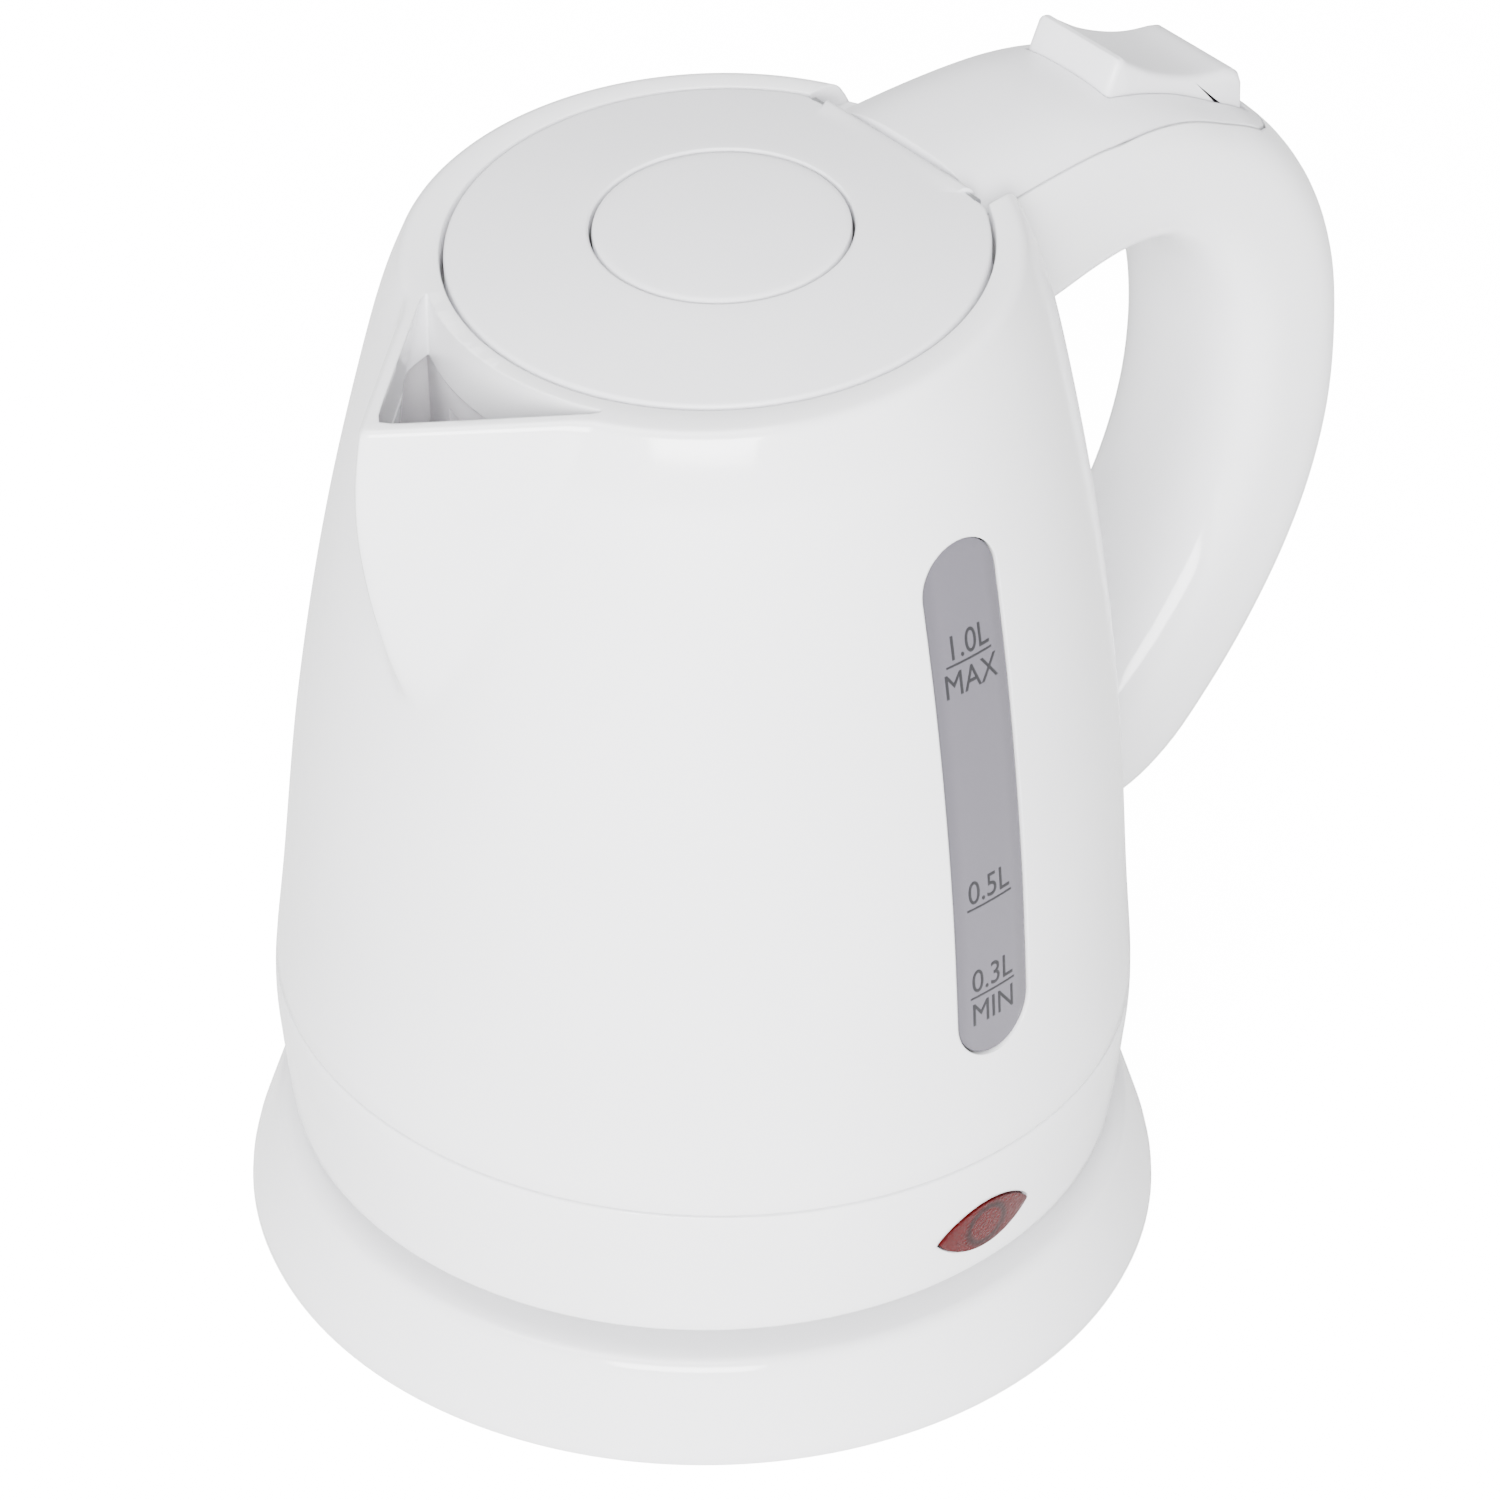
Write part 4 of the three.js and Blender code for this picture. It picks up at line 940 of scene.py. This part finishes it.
@dataclass
class PowerBase:
    """Round power base."""

    foot: float = 74.0
    top: float = 68.4
    height: float = 18.3
    wall: float = 2.2
    seat: float = 40.0
    seat_top: float = 22.4
    boss: tuple = (14.8, 17.0, 28.3)
    notch: tuple = (66.0, 4.0, 7.0)

    def build(self, dresser: Dresser) -> None:
        """Model and dress the housing."""
        under = self.height - self.wall
        bore, boss, boss_top = self.boss
        skirt = [
            (self.foot - self.wall, 0.8), (self.foot - 0.9, 0.8), (self.foot - 0.25, 1.1), (self.foot, 1.8),
            (self.foot - 0.1, 3.2), (self.foot - 0.6, 5.5), (self.foot - 1.7, 9.0), (self.top + 2.1, 14.6),
            (self.top + 1.3, 16.7), (self.top + 1.0, 17.4), (self.top + 0.5, 17.9), (self.top - 0.2, 18.2),
            (self.top - 1.0, self.height),
        ]
        seat = soft_corners(
            [(self.seat, self.height), (self.seat, self.seat_top), (self.seat - 3, self.seat_top),
             (self.seat - 3, self.height), (boss, self.height), (boss, boss_top), (bore, boss_top),
             (bore, under)],
            0.5,
        )
        inside = [(self.top - 2.6, under), (self.foot - self.wall - 0.6, 3.0)]
        housing = turned("power_base_housing", np.vstack([skirt, seat, inside]))
        x0, half, high = self.notch
        notch = soft_corners([(-half, -3), (half, -3), (half, high), (-half, high)], 1.2)
        carve(housing, prism("notch", notch, 0, x0, 90))
        dresser.piece(housing, "power_base", "white_gloss", "base_housing")


@dataclass
class LowerRing:
    """Ring that closes the foot of the jug, with the lamp's lens."""

    form: JugForm
    bottom: float = 22.7
    gap: float = 0.15
    lens: tuple = (18.6, 9.4, 32.5)
    proud: float = 0.35

    def eye(self, grow: float) -> Points:
        """Outline of the lens in X and Z, grown by a gap."""
        width, height, z = self.lens
        t = np.linspace(-1, 1, 25)
        half_x, half_z = width / 2 + grow * 1.4, height / 2 + grow
        arc = half_z * (1 - t**2) ** 0.86
        upper = np.column_stack([t * half_x, z + arc])
        lower = np.column_stack([t[::-1] * half_x, z - arc[::-1]])
        return np.vstack([upper[:-1], lower[:-1]])

    def build(self, dresser: Dresser) -> None:
        """Model and dress the ring and the lens."""
        form = self.form
        angle = np.linspace(0, math.tau, 240, endpoint=False)
        top = form.seam_at(form.radius(form.seam) * np.cos(angle), -self.gap)
        foot = ((0, 1.4), (0.15, 0.7), (0.5, 0.2), (1, 0))
        rings = [form.hoop(angle, self.bottom + up, inset) for up, inset in foot]
        start = self.bottom + 1
        for share in np.linspace(0, 1, 16)[1:]:
            rings.append(form.hoop(angle, start + (top - 0.3 - start) * share))
        for drop, inset in ((0.08, 0.1), (0, 0.35), (0, form.wall)):
            rings.append(form.at(angle, top - drop, form.radius(top) - inset))
        for share in np.linspace(1, 0, 8):
            rings.append(form.hoop(angle, self.bottom + (top - self.bottom) * share, form.wall))
        ring = skin("lower_ring_shell", rings, Ends.JOINED)
        carve(ring, prism("eye_hole", self.eye(0.3), 1, -90, -50))
        soften(ring, 0.3, lambda p: p.y < -60 and abs(p.x) < 11 and 26 < p.z < 39)
        dresser.piece(ring, "kettle", "white_gloss", "lower_ring")
        lens = form.solid("lamp_lens", -self.proud, 24, 41, 40)
        carve(lens, form.solid("core", form.wall + 0.4, 22, 43, 8))
        carve(lens, prism("eye", self.eye(0), 1, -90, -50), Cut.KEEP)
        soften(lens, 0.35, lambda p: p.y < -66.3, 3)
        dresser.piece(lens, "kettle", "red_lens", "indicator_lens")


@dataclass
class WaterGauge:
    """Stadium-shaped gauge window with its printed marks."""

    form: JugForm
    width: float = 14.7
    bottom: float = 66.4
    top: float = 156.5
    x: float = 2.0
    recess: float = 0.5
    letter: float = 4.3
    print_depth: float = 0.06
    marks: tuple = ((137.0, "1.0L", "MAX"), (94.0, "0.5L", ""), (77.6, "0.3L", "MIN"))
    line_half: float = 4.6
    line_high: float = 0.17
    letter_gap: float = 0.9
    letter_scale: tuple = (1.37, 0.86)

    def outline(self, grow: float) -> Points:
        """Outline of the window in X and Z, grown by a gap."""
        half = self.width / 2
        low, high = self.bottom + half, self.top - half
        turn = np.linspace(0, math.pi, 25)
        reach = half + grow
        upper = np.column_stack([self.x + reach * np.cos(turn), high + reach * np.sin(turn)])
        lower = np.column_stack([self.x - reach * np.cos(turn), low - reach * np.sin(turn)])
        return np.vstack([upper, lower])

    def slot_solid(self) -> bpy.types.Object:
        """Solid that cuts the window's slot out of the jug."""
        return prism("gauge_slot", self.outline(0.3), 1, -90, -30)

    def face_y(self, x: Points, z: Points) -> Points:
        """Place along Y of the window's outer face."""
        radius = self.form.radius(z) - self.recess
        return -np.sqrt(radius**2 - (x - self.form.shift(z)) ** 2)

    def build(self, dresser: Dresser) -> None:
        """Model and dress the window and its marks."""
        form = self.form
        window = form.solid("gauge_window", self.recess, 60, 163, 70)
        carve(window, form.solid("core", form.wall + 1.9, 55, 168, 20))
        carve(window, prism("stadium", self.outline(0), 1, -90, -30), Cut.KEEP)
        soften(window, 0.4, lambda p: p.y < -self.form.radius(p.z) + 2.2, 3)
        dresser.piece(window, "kettle", "gauge_clear", "water_gauge_window")
        made = [self.words(text, z + up) for z, over, under in self.marks
                for text, up in ((over, self.letter_gap), (under, -self.letter_gap - self.letter)) if text]
        made += [self.bar(z) for z, _, _ in self.marks]
        clear()
        for part in made:
            part.select_set(True)
        bpy.context.view_layer.objects.active = made[0]
        bpy.ops.object.join()
        marks = bpy.context.object
        marks.name = marks.data.name = "gauge_marks"
        self.lay_on_window(marks)
        tidy_mesh(marks, 0.001)
        dresser.piece(marks, "kettle", "print_grey", slot="dark_plastic")

    def words(self, text: str, base: float) -> bpy.types.Object:
        """Raised letters, upright at y = 0, with their foot at a height."""
        tall, slim = self.letter_scale
        letters = fresh("letters", bpy.ops.object.text_add)
        letters.data.body = text
        letters.data.align_x = "CENTER"
        letters.data.size = self.letter * tall * MM
        letters.data.extrude = self.print_depth / 2 * MM
        letters.data.resolution_u = 6
        only(letters)
        bpy.ops.object.convert(target="MESH")
        letters = bpy.context.object
        upright = Matrix.Rotation(math.pi / 2, 4, "X") @ Matrix.Diagonal((slim, 1, 1, 1))
        letters.data.transform(Matrix.Translation((self.x * MM, 0, base * MM)) @ upright)
        return letters

    def bar(self, z: float) -> bpy.types.Object:
        """Thin printed line across the window at a height."""
        middle, half = (self.x, 0, z), (self.line_half, self.print_depth / 2, self.line_high)
        line = block("bar", np.subtract(middle, half), np.add(middle, half))
        with editing(line):
            bpy.ops.mesh.subdivide(number_cuts=7)
        return line

    def lay_on_window(self, marks: bpy.types.Object) -> None:
        """Bend the flat marks onto the window's face."""
        for v in marks.data.vertices:
            x, y, z = v.co / MM
            v.co.y = (float(self.face_y(x, z)) + y - self.print_depth * 0.3) * MM


@dataclass
class JugAndHandle:
    """Jug shell with its spout and the handle, moulded as one."""

    form: JugForm
    handle: HandleForm
    cover: CoverPlan
    gauge: WaterGauge
    gap: float = 0.15
    well: tuple = (42.3, 9.0)
    throat: tuple = (37.5, 30.0, 1.5)
    edge: float = 1.5
    plate: tuple = (54.7, 64.3)
    chimney_inset: float = 2.2
    core: float = 45.1
    tongue: tuple = (36.8, 17.1, 174.1)
    lip_zone: tuple = (-38.0, 0.4)
    slot_zone: tuple = (9.0, 64.0, 160.0)
    recess_zone: tuple = (2.0, 3.5)

    def shell_rings(self) -> list[Points]:
        """Rings of the shell, from the seam up the outside, over the rim and down the inside."""
        form, angle = self.form, jug_angles()
        low = form.seam_at(form.radius(form.seam) * np.cos(angle), self.gap)
        reach = form.reach(angle, np.full(len(angle), form.rim - 1.0))
        high = form.rim_at(form.rim_x + reach * np.cos(angle))
        rings = [form.hoop(angle, low, 0.35), form.at(angle, low + 0.08, form.radius(low) - 0.1)]
        for share in np.concatenate([np.linspace(0, 0.5, 22), np.linspace(0.5, 1, 44)[1:]]):
            z = low + 0.3 + (high - self.edge - low - 0.3) * share
            rings.append(form.at(angle, z, form.reach(angle, z)))
        corner_reach = form.reach(angle, high)
        before, corner = rings[-1], form.at(angle, high, corner_reach)
        after = form.at(angle, form.rim_at(form.rim_x + (corner_reach - self.edge) * np.cos(angle)),
                        corner_reach - self.edge)
        rings += rounded(corner, before, after, 4)[1:]
        well, deep = self.well
        for radius, up in ((well + 0.55, 0.0), (well + 0.15, -0.12), (well, -0.5), (well, -deep)):
            rings.append(form.tilted(angle, radius, up))
        throat, chord, lip = self.throat
        limit = np.where(np.cos(angle) > 0.05, chord / np.maximum(np.cos(angle), 0.05), 1e3)
        mouth = np.minimum(throat, limit)
        rings += [form.tilted(angle, mouth, -deep), form.tilted(angle, mouth, -deep - lip)]
        return rings + self.inside_rings(angle, deep + lip, low)

    def inside_rings(self, angle: Points, drop: float, low: Points) -> list[Points]:
        """Rings of the inside, from the ceiling down to the plate's ledge and the seam."""
        form = self.form
        plate_z, plate_r = self.plate
        first = form.rim_at(form.rim_x + 46 * np.cos(angle)) - drop
        ledge = plate_z + 3
        seat, inner, outer = plate_z + 0.9, plate_r - 2.4, plate_r + 1.2
        rings = []
        for share in np.linspace(0, 1, 30):
            z = first + (ledge - first) * share
            rings.append(form.at(angle, z, form.reach(angle, z, form.wall)))
        steps = (inner, ledge), (inner, seat), (outer, seat), (outer, low)
        return rings + [form.at(angle, z, radius) for radius, z in steps]

    def chimney(self) -> bpy.types.Object:
        """Solid of the way out between the collar and the spout's walls."""
        form = self.form
        rings = []
        for up in np.linspace(-11.5, 4, 9):
            z = float(form.rim_at(-56.0)) + up
            turn = math.pi + np.linspace(-1, 1, 41) * self.widest(z)
            height = np.full(len(turn), z)
            outer = np.maximum(form.spout_reach(turn, height, self.chimney_inset), self.core + 0.3)
            rings.append(np.vstack([form.at(turn, height, outer), form.at(turn, height, self.core)[::-1]]))
        return skin("chimney", rings)

    def widest(self, z: float) -> float:
        """Largest turn from the spout's middle at which its wall clears the collar."""
        turns = np.linspace(0, 0.9, 200)
        reach = self.form.spout_reach(math.pi + turns, np.full(len(turns), z), self.chimney_inset)
        clear_of = turns[reach > self.core + 0.3]
        return float(clear_of.max()) if len(clear_of) else 0.1

    def handle_solid(self) -> bpy.types.Object:
        """Handle, trimmed to start in the jug's wall."""
        arm = self.handle.solid("handle_form")
        _, _, floor = self.tongue
        carve(arm, self.form.solid("inside", 1.2, 30, floor, 70))
        carve(arm, block("ahead", (0, -40, 140), (self.cover.front, 40, 220)))
        return arm

    def build(self, dresser: Dresser) -> None:
        """Model and dress the jug with its handle."""
        shell = skin("jug_shell", self.shell_rings(), Ends.JOINED)
        carve(shell, self.chimney())
        soften(shell, 0.7, self.on_lip, 3)
        front, half, floor = self.tongue
        carve(shell, block("notch", (front, -half, floor), (self.cover.front + 3, half, 200)))
        carve(shell, self.handle_solid(), Cut.ADD)
        carve(shell, self.gauge.slot_solid())
        soften(shell, 0.35, self.on_slot, 2)
        carve(shell, self.cover.blank("recess", self.handle, 0.3))
        soften(shell, 0.3, self.on_recess, 2, 50)
        carve(shell, self.duct())
        tidy_mesh(shell)
        dresser.piece(shell, "kettle", "white_gloss", "body_shell", "handle_shell")

    def on_lip(self, p: Vector) -> bool:
        """Whether a point is on the spout's lip."""
        ahead, under = self.lip_zone
        return p.x < ahead and p.z > float(self.form.rim_at(p.x)) - under

    def on_slot(self, p: Vector) -> bool:
        """Whether a point is on the edge of the gauge's slot."""
        half, low, high = self.slot_zone
        if p.y >= 0 or abs(p.x - self.gauge.x) >= half or not low < p.z < high:
            return False
        reach = math.hypot(p.x - float(self.form.shift(p.z)), p.y)
        return reach > float(self.form.radius(p.z)) - 0.3

    def on_recess(self, p: Vector) -> bool:
        """Whether a point is on the upper edge of the cover's recess."""
        behind, under = self.recess_zone
        along = self.cover.front + behind < p.x < self.cover.rear + behind
        return along and p.z > float(self.handle.top_at(p.x)) - under

    def duct(self) -> bpy.types.Object:
        """Hollow inside the handle."""
        hollow = self.handle.solid("duct", 3.0)
        carve(hollow, block("root", (0, -40, 140), (56, 40, 220)))
        carve(hollow, self.form.solid("jug", -2.0, 22.7, 184, 40))
        return hollow


@dataclass
class SpoutFilter:
    """Filter frame behind the spout: a curved wall with windows, a floor and two cheeks."""

    form: JugForm
    radius: float = 43.6
    wall: float = 1.5
    gap: float = 0.35
    half_turn: float = 38.0
    top: float = -10.9
    drop: float = 22.0
    windows: tuple = (-12.0, 0.0, 12.0)
    window_turn: float = 4.6

    def sector(self, name: str, middle: float, half: float, span: tuple, height: tuple) -> bpy.types.Object:
        """Curved block about the rim's centre.

        Args:
            name: name of the block.
            middle: turn of its middle from the spout in degrees.
            half: half its turn in degrees.
            span: its inner and outer radius.
            height: its lowest and highest place from the rim's plane.

        Returns:
            The block.
        """
        inner, outer = span
        low, high = height
        section = soft_corners([(inner, low), (outer, low), (outer, high), (inner, high)], 0.35)
        rings = []
        for turn in np.radians(np.linspace(180 + middle - half, 180 + middle + half, 40)):
            flat = section[:, :1] * (math.cos(turn), math.sin(turn))
            rings.append(self.form.from_rim(np.column_stack([flat, section[:, 1]])))
        return skin(name, rings)

    def out_to_spout(self, name: str, turns: Points, low: float, high: float) -> bpy.types.Object:
        """Solid from the curved wall out to the inside of the spout and the jug.

        Args:
            name: name of the solid.
            turns: directions that it passes through, in radians.
            low: its underside, from the rim's plane.
            high: its top, from the rim's plane.

        Returns:
            The solid.
        """
        form = self.form
        rim = float(form.rim_at(-self.radius))
        heights = np.linspace(rim + low, rim + high, 8)
        z = np.concatenate([heights[:1], heights, heights[-1:]])
        rings = []
        for turn in turns:
            outer = form.reach(np.full(len(heights), turn), heights, form.wall + self.gap)
            radius = np.pad(outer, 1, constant_values=self.radius - self.wall / 2)
            rings.append(form.at(np.full(len(z), turn), z, radius))
        return skin(name, rings)

    def build(self, dresser: Dresser) -> None:
        """Model and dress the frame."""
        span, low = (self.radius, self.radius + self.wall), self.top - self.drop
        frame = self.sector("spout_filter", 0, self.half_turn, span, (low, self.top))
        through = (self.radius - 2, self.radius + self.wall + 2)
        for middle in self.windows:
            carve(frame, self.sector("window", middle, self.window_turn, through, (low + 4, self.top - 5)))
        ends = math.pi - math.radians(self.half_turn), math.pi + math.radians(self.half_turn)
        carve(frame, self.out_to_spout("floor", np.linspace(*ends, 40), low, low + self.wall), Cut.ADD)
        for turn in ends:
            inward = turn + math.copysign(self.wall / self.radius, math.pi - turn)
            pair = np.array(sorted((turn, inward)))
            carve(frame, self.out_to_spout("cheek", pair, low + self.wall / 2, self.top), Cut.ADD)
        tidy_mesh(frame)
        dresser.piece(frame, "kettle", "filter_clear", "spout_filter_frame")


@dataclass
class HandleCover:
    """Satin cover in the top of the handle."""

    handle: HandleForm
    cover: CoverPlan

    def build(self, dresser: Dresser) -> None:
        """Model and dress the cover."""
        body = self.handle.solid("handle_cover")
        carve(body, self.cover.blank("plan", self.handle, 0.0), Cut.KEEP)
        front, rear, half = self.cover.bay
        bay = soft_corners([(front, -half), (rear, -half), (rear, half), (front, half)], 1.0)
        carve(body, prism("bay", bay, 2, 140, 210))
        soften(body, 0.45, lambda p: p.z > float(self.handle.top_at(p.x)) - 3.4, 3, 35)
        dresser.piece(body, "kettle", "white_satin", "handle_top_cover")


@dataclass
class RockerSwitch:
    """Rocker in the top of the handle."""

    half: float = 9.3
    front: tuple = ((80.0, 178.9), (74.5, 178.6), (74.6, 183.4), (76.6, 187.7), (77.4, 188.25), (78.4, 188.1))
    back: tuple = ((79.2, 187.3), (84.6, 183.3), (90.5, 180.1), (96.0, 178.0), (101.0, 176.9))
    heel: tuple = ((102.6, 176.4), (103.9, 175.2), (104.6, 173.2))
    under: tuple = ((104.9, 165.2), (101.0, 165.8), (94.0, 169.4), (86.0, 173.0))
    rounding: tuple = (
        (1.0, 1.1), (0.985, 0.62), (0.955, 0.28), (0.91, 0.08), (0.86, 0.0), (0.6, 0.0), (0.3, 0.0),
    )
    web: tuple = ((86.4, 167.0), (91.6, 167.0), (93.5, 175.5), (84.5, 178.5))
    pin: tuple = (89.0, 169.0, 1.1, 2.8)

    def outline(self) -> Points:
        """Side outline, clockwise from its front foot."""
        return np.vstack([self.front, smooth_line(self.back, 6), self.heel, smooth_line(self.under, 4)])

    def build(self, dresser: Dresser) -> None:
        """Model and dress the rocker."""
        line = self.outline()
        step = np.roll(line, -1, 0) - np.roll(line, 1, 0)
        normal = np.column_stack([step[:, 1], -step[:, 0]]) / np.hypot(*step.T)[:, None]
        rings = []
        shares = [(-s, i) for s, i in self.rounding] + [(0.0, 0.0)] + list(self.rounding[::-1])
        for share, inset in shares:
            rings.append(np.insert(line + normal * inset, 1, share * self.half, axis=1))
        body = skin("rocker", rings)
        x, z, bore, hub = self.pin
        carve(body, prism("web", self.web, 1, -5, 5), Cut.ADD)
        turn = np.linspace(0, math.tau, 32, endpoint=False)
        ring = np.column_stack([np.cos(turn), np.sin(turn)])
        carve(body, prism("hub", ring * hub + (x, z), 1, -5, 5), Cut.ADD)
        carve(body, prism("bore", ring * bore + (x, z), 1, -14, 14))
        dresser.piece(body, "rocker", "white_satin", "switch_rocker")


@dataclass
class Lid:
    """Lid with its hinge bead and its round push button."""

    form: JugForm
    radius: float = 41.7
    well: float = 42.3
    crown: float = 4.0
    wall: float = 2.2
    depth: float = 5.0
    bead: tuple = (36.1, 1.5, 16.8)
    notch: float = 36.1
    hole: float = 20.3
    button: float = 19.8
    shift: float = 1.0
    across: tuple = (
        (0.0, 0.75), (0.0035, 0.32), (0.009, 0.1), (0.018, 0.0), (0.03, 0.0), (0.045, 0.0), (0.08, 0.0),
        (0.16, 0.0), (0.3, 0.0), (0.45, 0.0), (0.6, 0.0), (0.75, 0.0), (0.88, 0.0), (0.96, 0.0),
        (0.985, 0.04), (1.0, 0.4),
    )

    def dome(self, r: Points) -> Points:
        """Height of the domed top at a distance from the centre."""
        return self.crown * (1 - (r / self.well) ** 2)

    def edge(self, angle: Points) -> Points:
        """Distance of the lid's edge from its centre in each direction."""
        x, r, half = self.bead
        cos = np.maximum(np.cos(angle), 0.05)
        chord = (x + r) / cos
        beside = self.notch / cos
        limit = np.where(np.abs(chord * np.sin(angle)) <= half, chord, beside)
        return np.minimum(self.radius, np.where(np.cos(angle) > 0.06, limit, self.radius))

    def top(self, x: Points, y: Points) -> Points:
        """Height of the lid's upper face, with the bead along its straight edge."""
        centre, r, half = self.bead
        height = self.dome(np.hypot(x, y))
        crest = self.dome(centre) - r
        past = np.clip(x - centre, 0, r)
        bead = crest + np.sqrt(np.maximum(r**2 - past**2, 0))
        return np.where((x > centre) & (np.abs(y) <= half + 0.1), bead, height)

    def angles(self) -> Points:
        """Directions round the lid, with pairs at the ends of the bead."""
        x, r, half = self.bead
        corner = math.degrees(math.atan2(half, x + r))
        plain = [a for a in np.arange(0, 360, 1.8) if min(abs(a - corner), abs(a - 360 + corner)) > 0.7]
        pairs = [at + side for at in (corner, 360 - corner) for side in (-0.05, 0.05)]
        return np.radians(sorted(plain + pairs))

    def rings(self) -> list[Points]:
        """Rings of the lid, from its skirt over the top to the button's hole and back underneath."""
        angle = self.angles()
        edge = self.edge(angle)
        unit = np.column_stack([np.cos(angle), np.sin(angle)])
        outer = unit * edge[:, None]
        hole = unit * self.hole + (self.shift, 0)
        rings = [self.flat(outer, -self.depth), self.flat(outer * 0.9995, -1.1)]
        for share, drop in self.across:
            flat = outer + (hole - outer) * share
            rings.append(np.column_stack([flat, self.top(*flat.T) - drop]))
        rings.append(self.flat(hole, -2.2))
        wider = unit * (self.hole + 1.8) + (self.shift, 0)
        rings += [self.flat(wider, -2.2), np.column_stack([wider, self.top(*wider.T) - self.wall])]
        inner = unit * (edge - 2)[:, None]
        for share in (0.3, 0.7, 1.0):
            flat = wider + (inner - wider) * share
            rings.append(np.column_stack([flat, np.minimum(self.top(*flat.T), 2.2) - self.wall]))
        rings.append(self.flat(inner, -self.depth))
        return rings

    @staticmethod
    def flat(plan: Points, up: float) -> Points:
        """Ring at one height."""
        return np.insert(plan, 2, up, axis=1)

    def cap(self) -> bpy.types.Object:
        """Round push button."""
        edge, shoulder = self.button, self.button - 1.1
        angle = np.linspace(0, math.tau, 200, endpoint=False)
        unit = np.column_stack([np.cos(angle), np.sin(angle)])
        rise, under = self.dome(edge), self.dome(edge - 2) - self.wall
        inner, corner = edge - 2, (edge - 0.5, rise - 0.12)
        side = (inner, 0.9), (edge, 0.9), (edge, rise - 0.75), (edge - 0.12, rise - 0.35), corner
        over = [(r, self.dome(r) - 0.1) for r in np.linspace(shoulder, 0, 12)]
        line = [*side, *over, (0, under), (inner, under)]
        rings = [self.flat(unit * r + (self.shift, 0), z) for r, z in line]
        return skin("lid_push_button", rings, Ends.JOINED)

    def to_kettle(self, obj: bpy.types.Object) -> None:
        """Move a piece from the lid's own frame into the kettle's."""
        flat = np.empty(len(obj.data.vertices) * 3)
        obj.data.vertices.foreach_get("co", flat)
        set_points(obj, self.form.from_rim(flat.reshape(-1, 3) / MM))

    def build(self, dresser: Dresser) -> None:
        """Model and dress the lid and its button."""
        cover = skin("lid_shell", self.rings(), Ends.JOINED)
        for piece, body, node in ((cover, "lid", "lid_cover"), (self.cap(), "lid_button", "lid_button")):
            self.to_kettle(piece)
            dresser.piece(piece, body, "white_satin", node)


@dataclass
class Studio:
    """Pale floor, soft lights and the camera."""

    camera_at: tuple = (-684.16, -786.75, 876.16)
    aim: tuple = (5.473, -4.827, 86.912)
    roll: float = 0.461
    lens: float = 197.84
    floor: float = 6.0
    glow: float = 0.72
    lights: tuple = (
        ("key", (-1.4, -1.4, 1.0), 1.3, 170.0),
        ("over", (-0.3, 0.2, 2.0), 1.2, 44.0),
    )

    def build(self) -> None:
        """Make the floor, the lights, the sky and the camera."""
        sheet = fresh("floor_sheet", bpy.ops.mesh.primitive_plane_add, size=self.floor)
        sheet.data.materials.append(Paper("floor_paper", (0.9, 0.9, 0.9)).make())
        for name, place, size, power in self.lights:
            self.light(name, Vector(place), size, power)
        world = bpy.data.worlds.new("studio_sky")
        world.use_nodes = True
        sky = world.node_tree.nodes["Background"].inputs
        sky["Color"].default_value, sky["Strength"].default_value = (1, 1, 1, 1), self.glow
        bpy.context.scene.world = world
        self.view()

    def light(self, name: str, place: Vector, size: float, power: float) -> None:
        """Add a soft panel that faces the kettle.

        Args:
            name: name of the panel.
            place: its place in metres.
            size: its side in metres.
            power: its power in watts.
        """
        panel = fresh(f"{name}_light", bpy.ops.object.light_add, type="AREA", location=place)
        panel.data.size, panel.data.energy = size, power
        facing = Vector((0, 0, 0.09)) - place
        panel.rotation_euler = facing.to_track_quat("-Z", "Y").to_euler()

    def view(self) -> None:
        """Add the camera and make it the scene's."""
        at, aim = Vector(self.camera_at) * MM, Vector(self.aim) * MM
        camera = fresh("camera", bpy.ops.object.camera_add, location=at)
        camera.data.lens, camera.data.sensor_width = self.lens, 36
        camera.data.clip_start, camera.data.clip_end = 0.05, 50
        facing = (aim - at).to_track_quat("-Z", "Y").to_matrix()
        turned_by = facing @ Matrix.Rotation(math.radians(self.roll), 3, "Z")
        camera.rotation_euler = turned_by.to_euler()
        bpy.context.scene.camera = camera


def corners(box: tuple[Vector, Vector]) -> list[list[float]]:
    """Box as plain lists of numbers."""
    return [[float(v) for v in corner] for corner in box]


def main() -> None:
    """Build the kettle round its frame and report each piece."""
    logging.basicConfig(level=logging.INFO, format="%(name)s: %(message)s")
    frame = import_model()
    dresser = Dresser()
    dresser.frame_nodes(frame)
    form, handle, cover = JugForm(), HandleForm(), CoverPlan()
    gauge = WaterGauge(form)
    assemblies = (
        PowerBase(), LowerRing(form), gauge, JugAndHandle(form, handle, cover, gauge),
        SpoutFilter(form), HandleCover(handle, cover), RockerSwitch(), Lid(form),
    )
    for assembly in assemblies:
        assembly.build(dresser)
        log.info("%s is built", type(assembly).__name__)
    Studio().build()


if __name__ == "__main__":
    main()
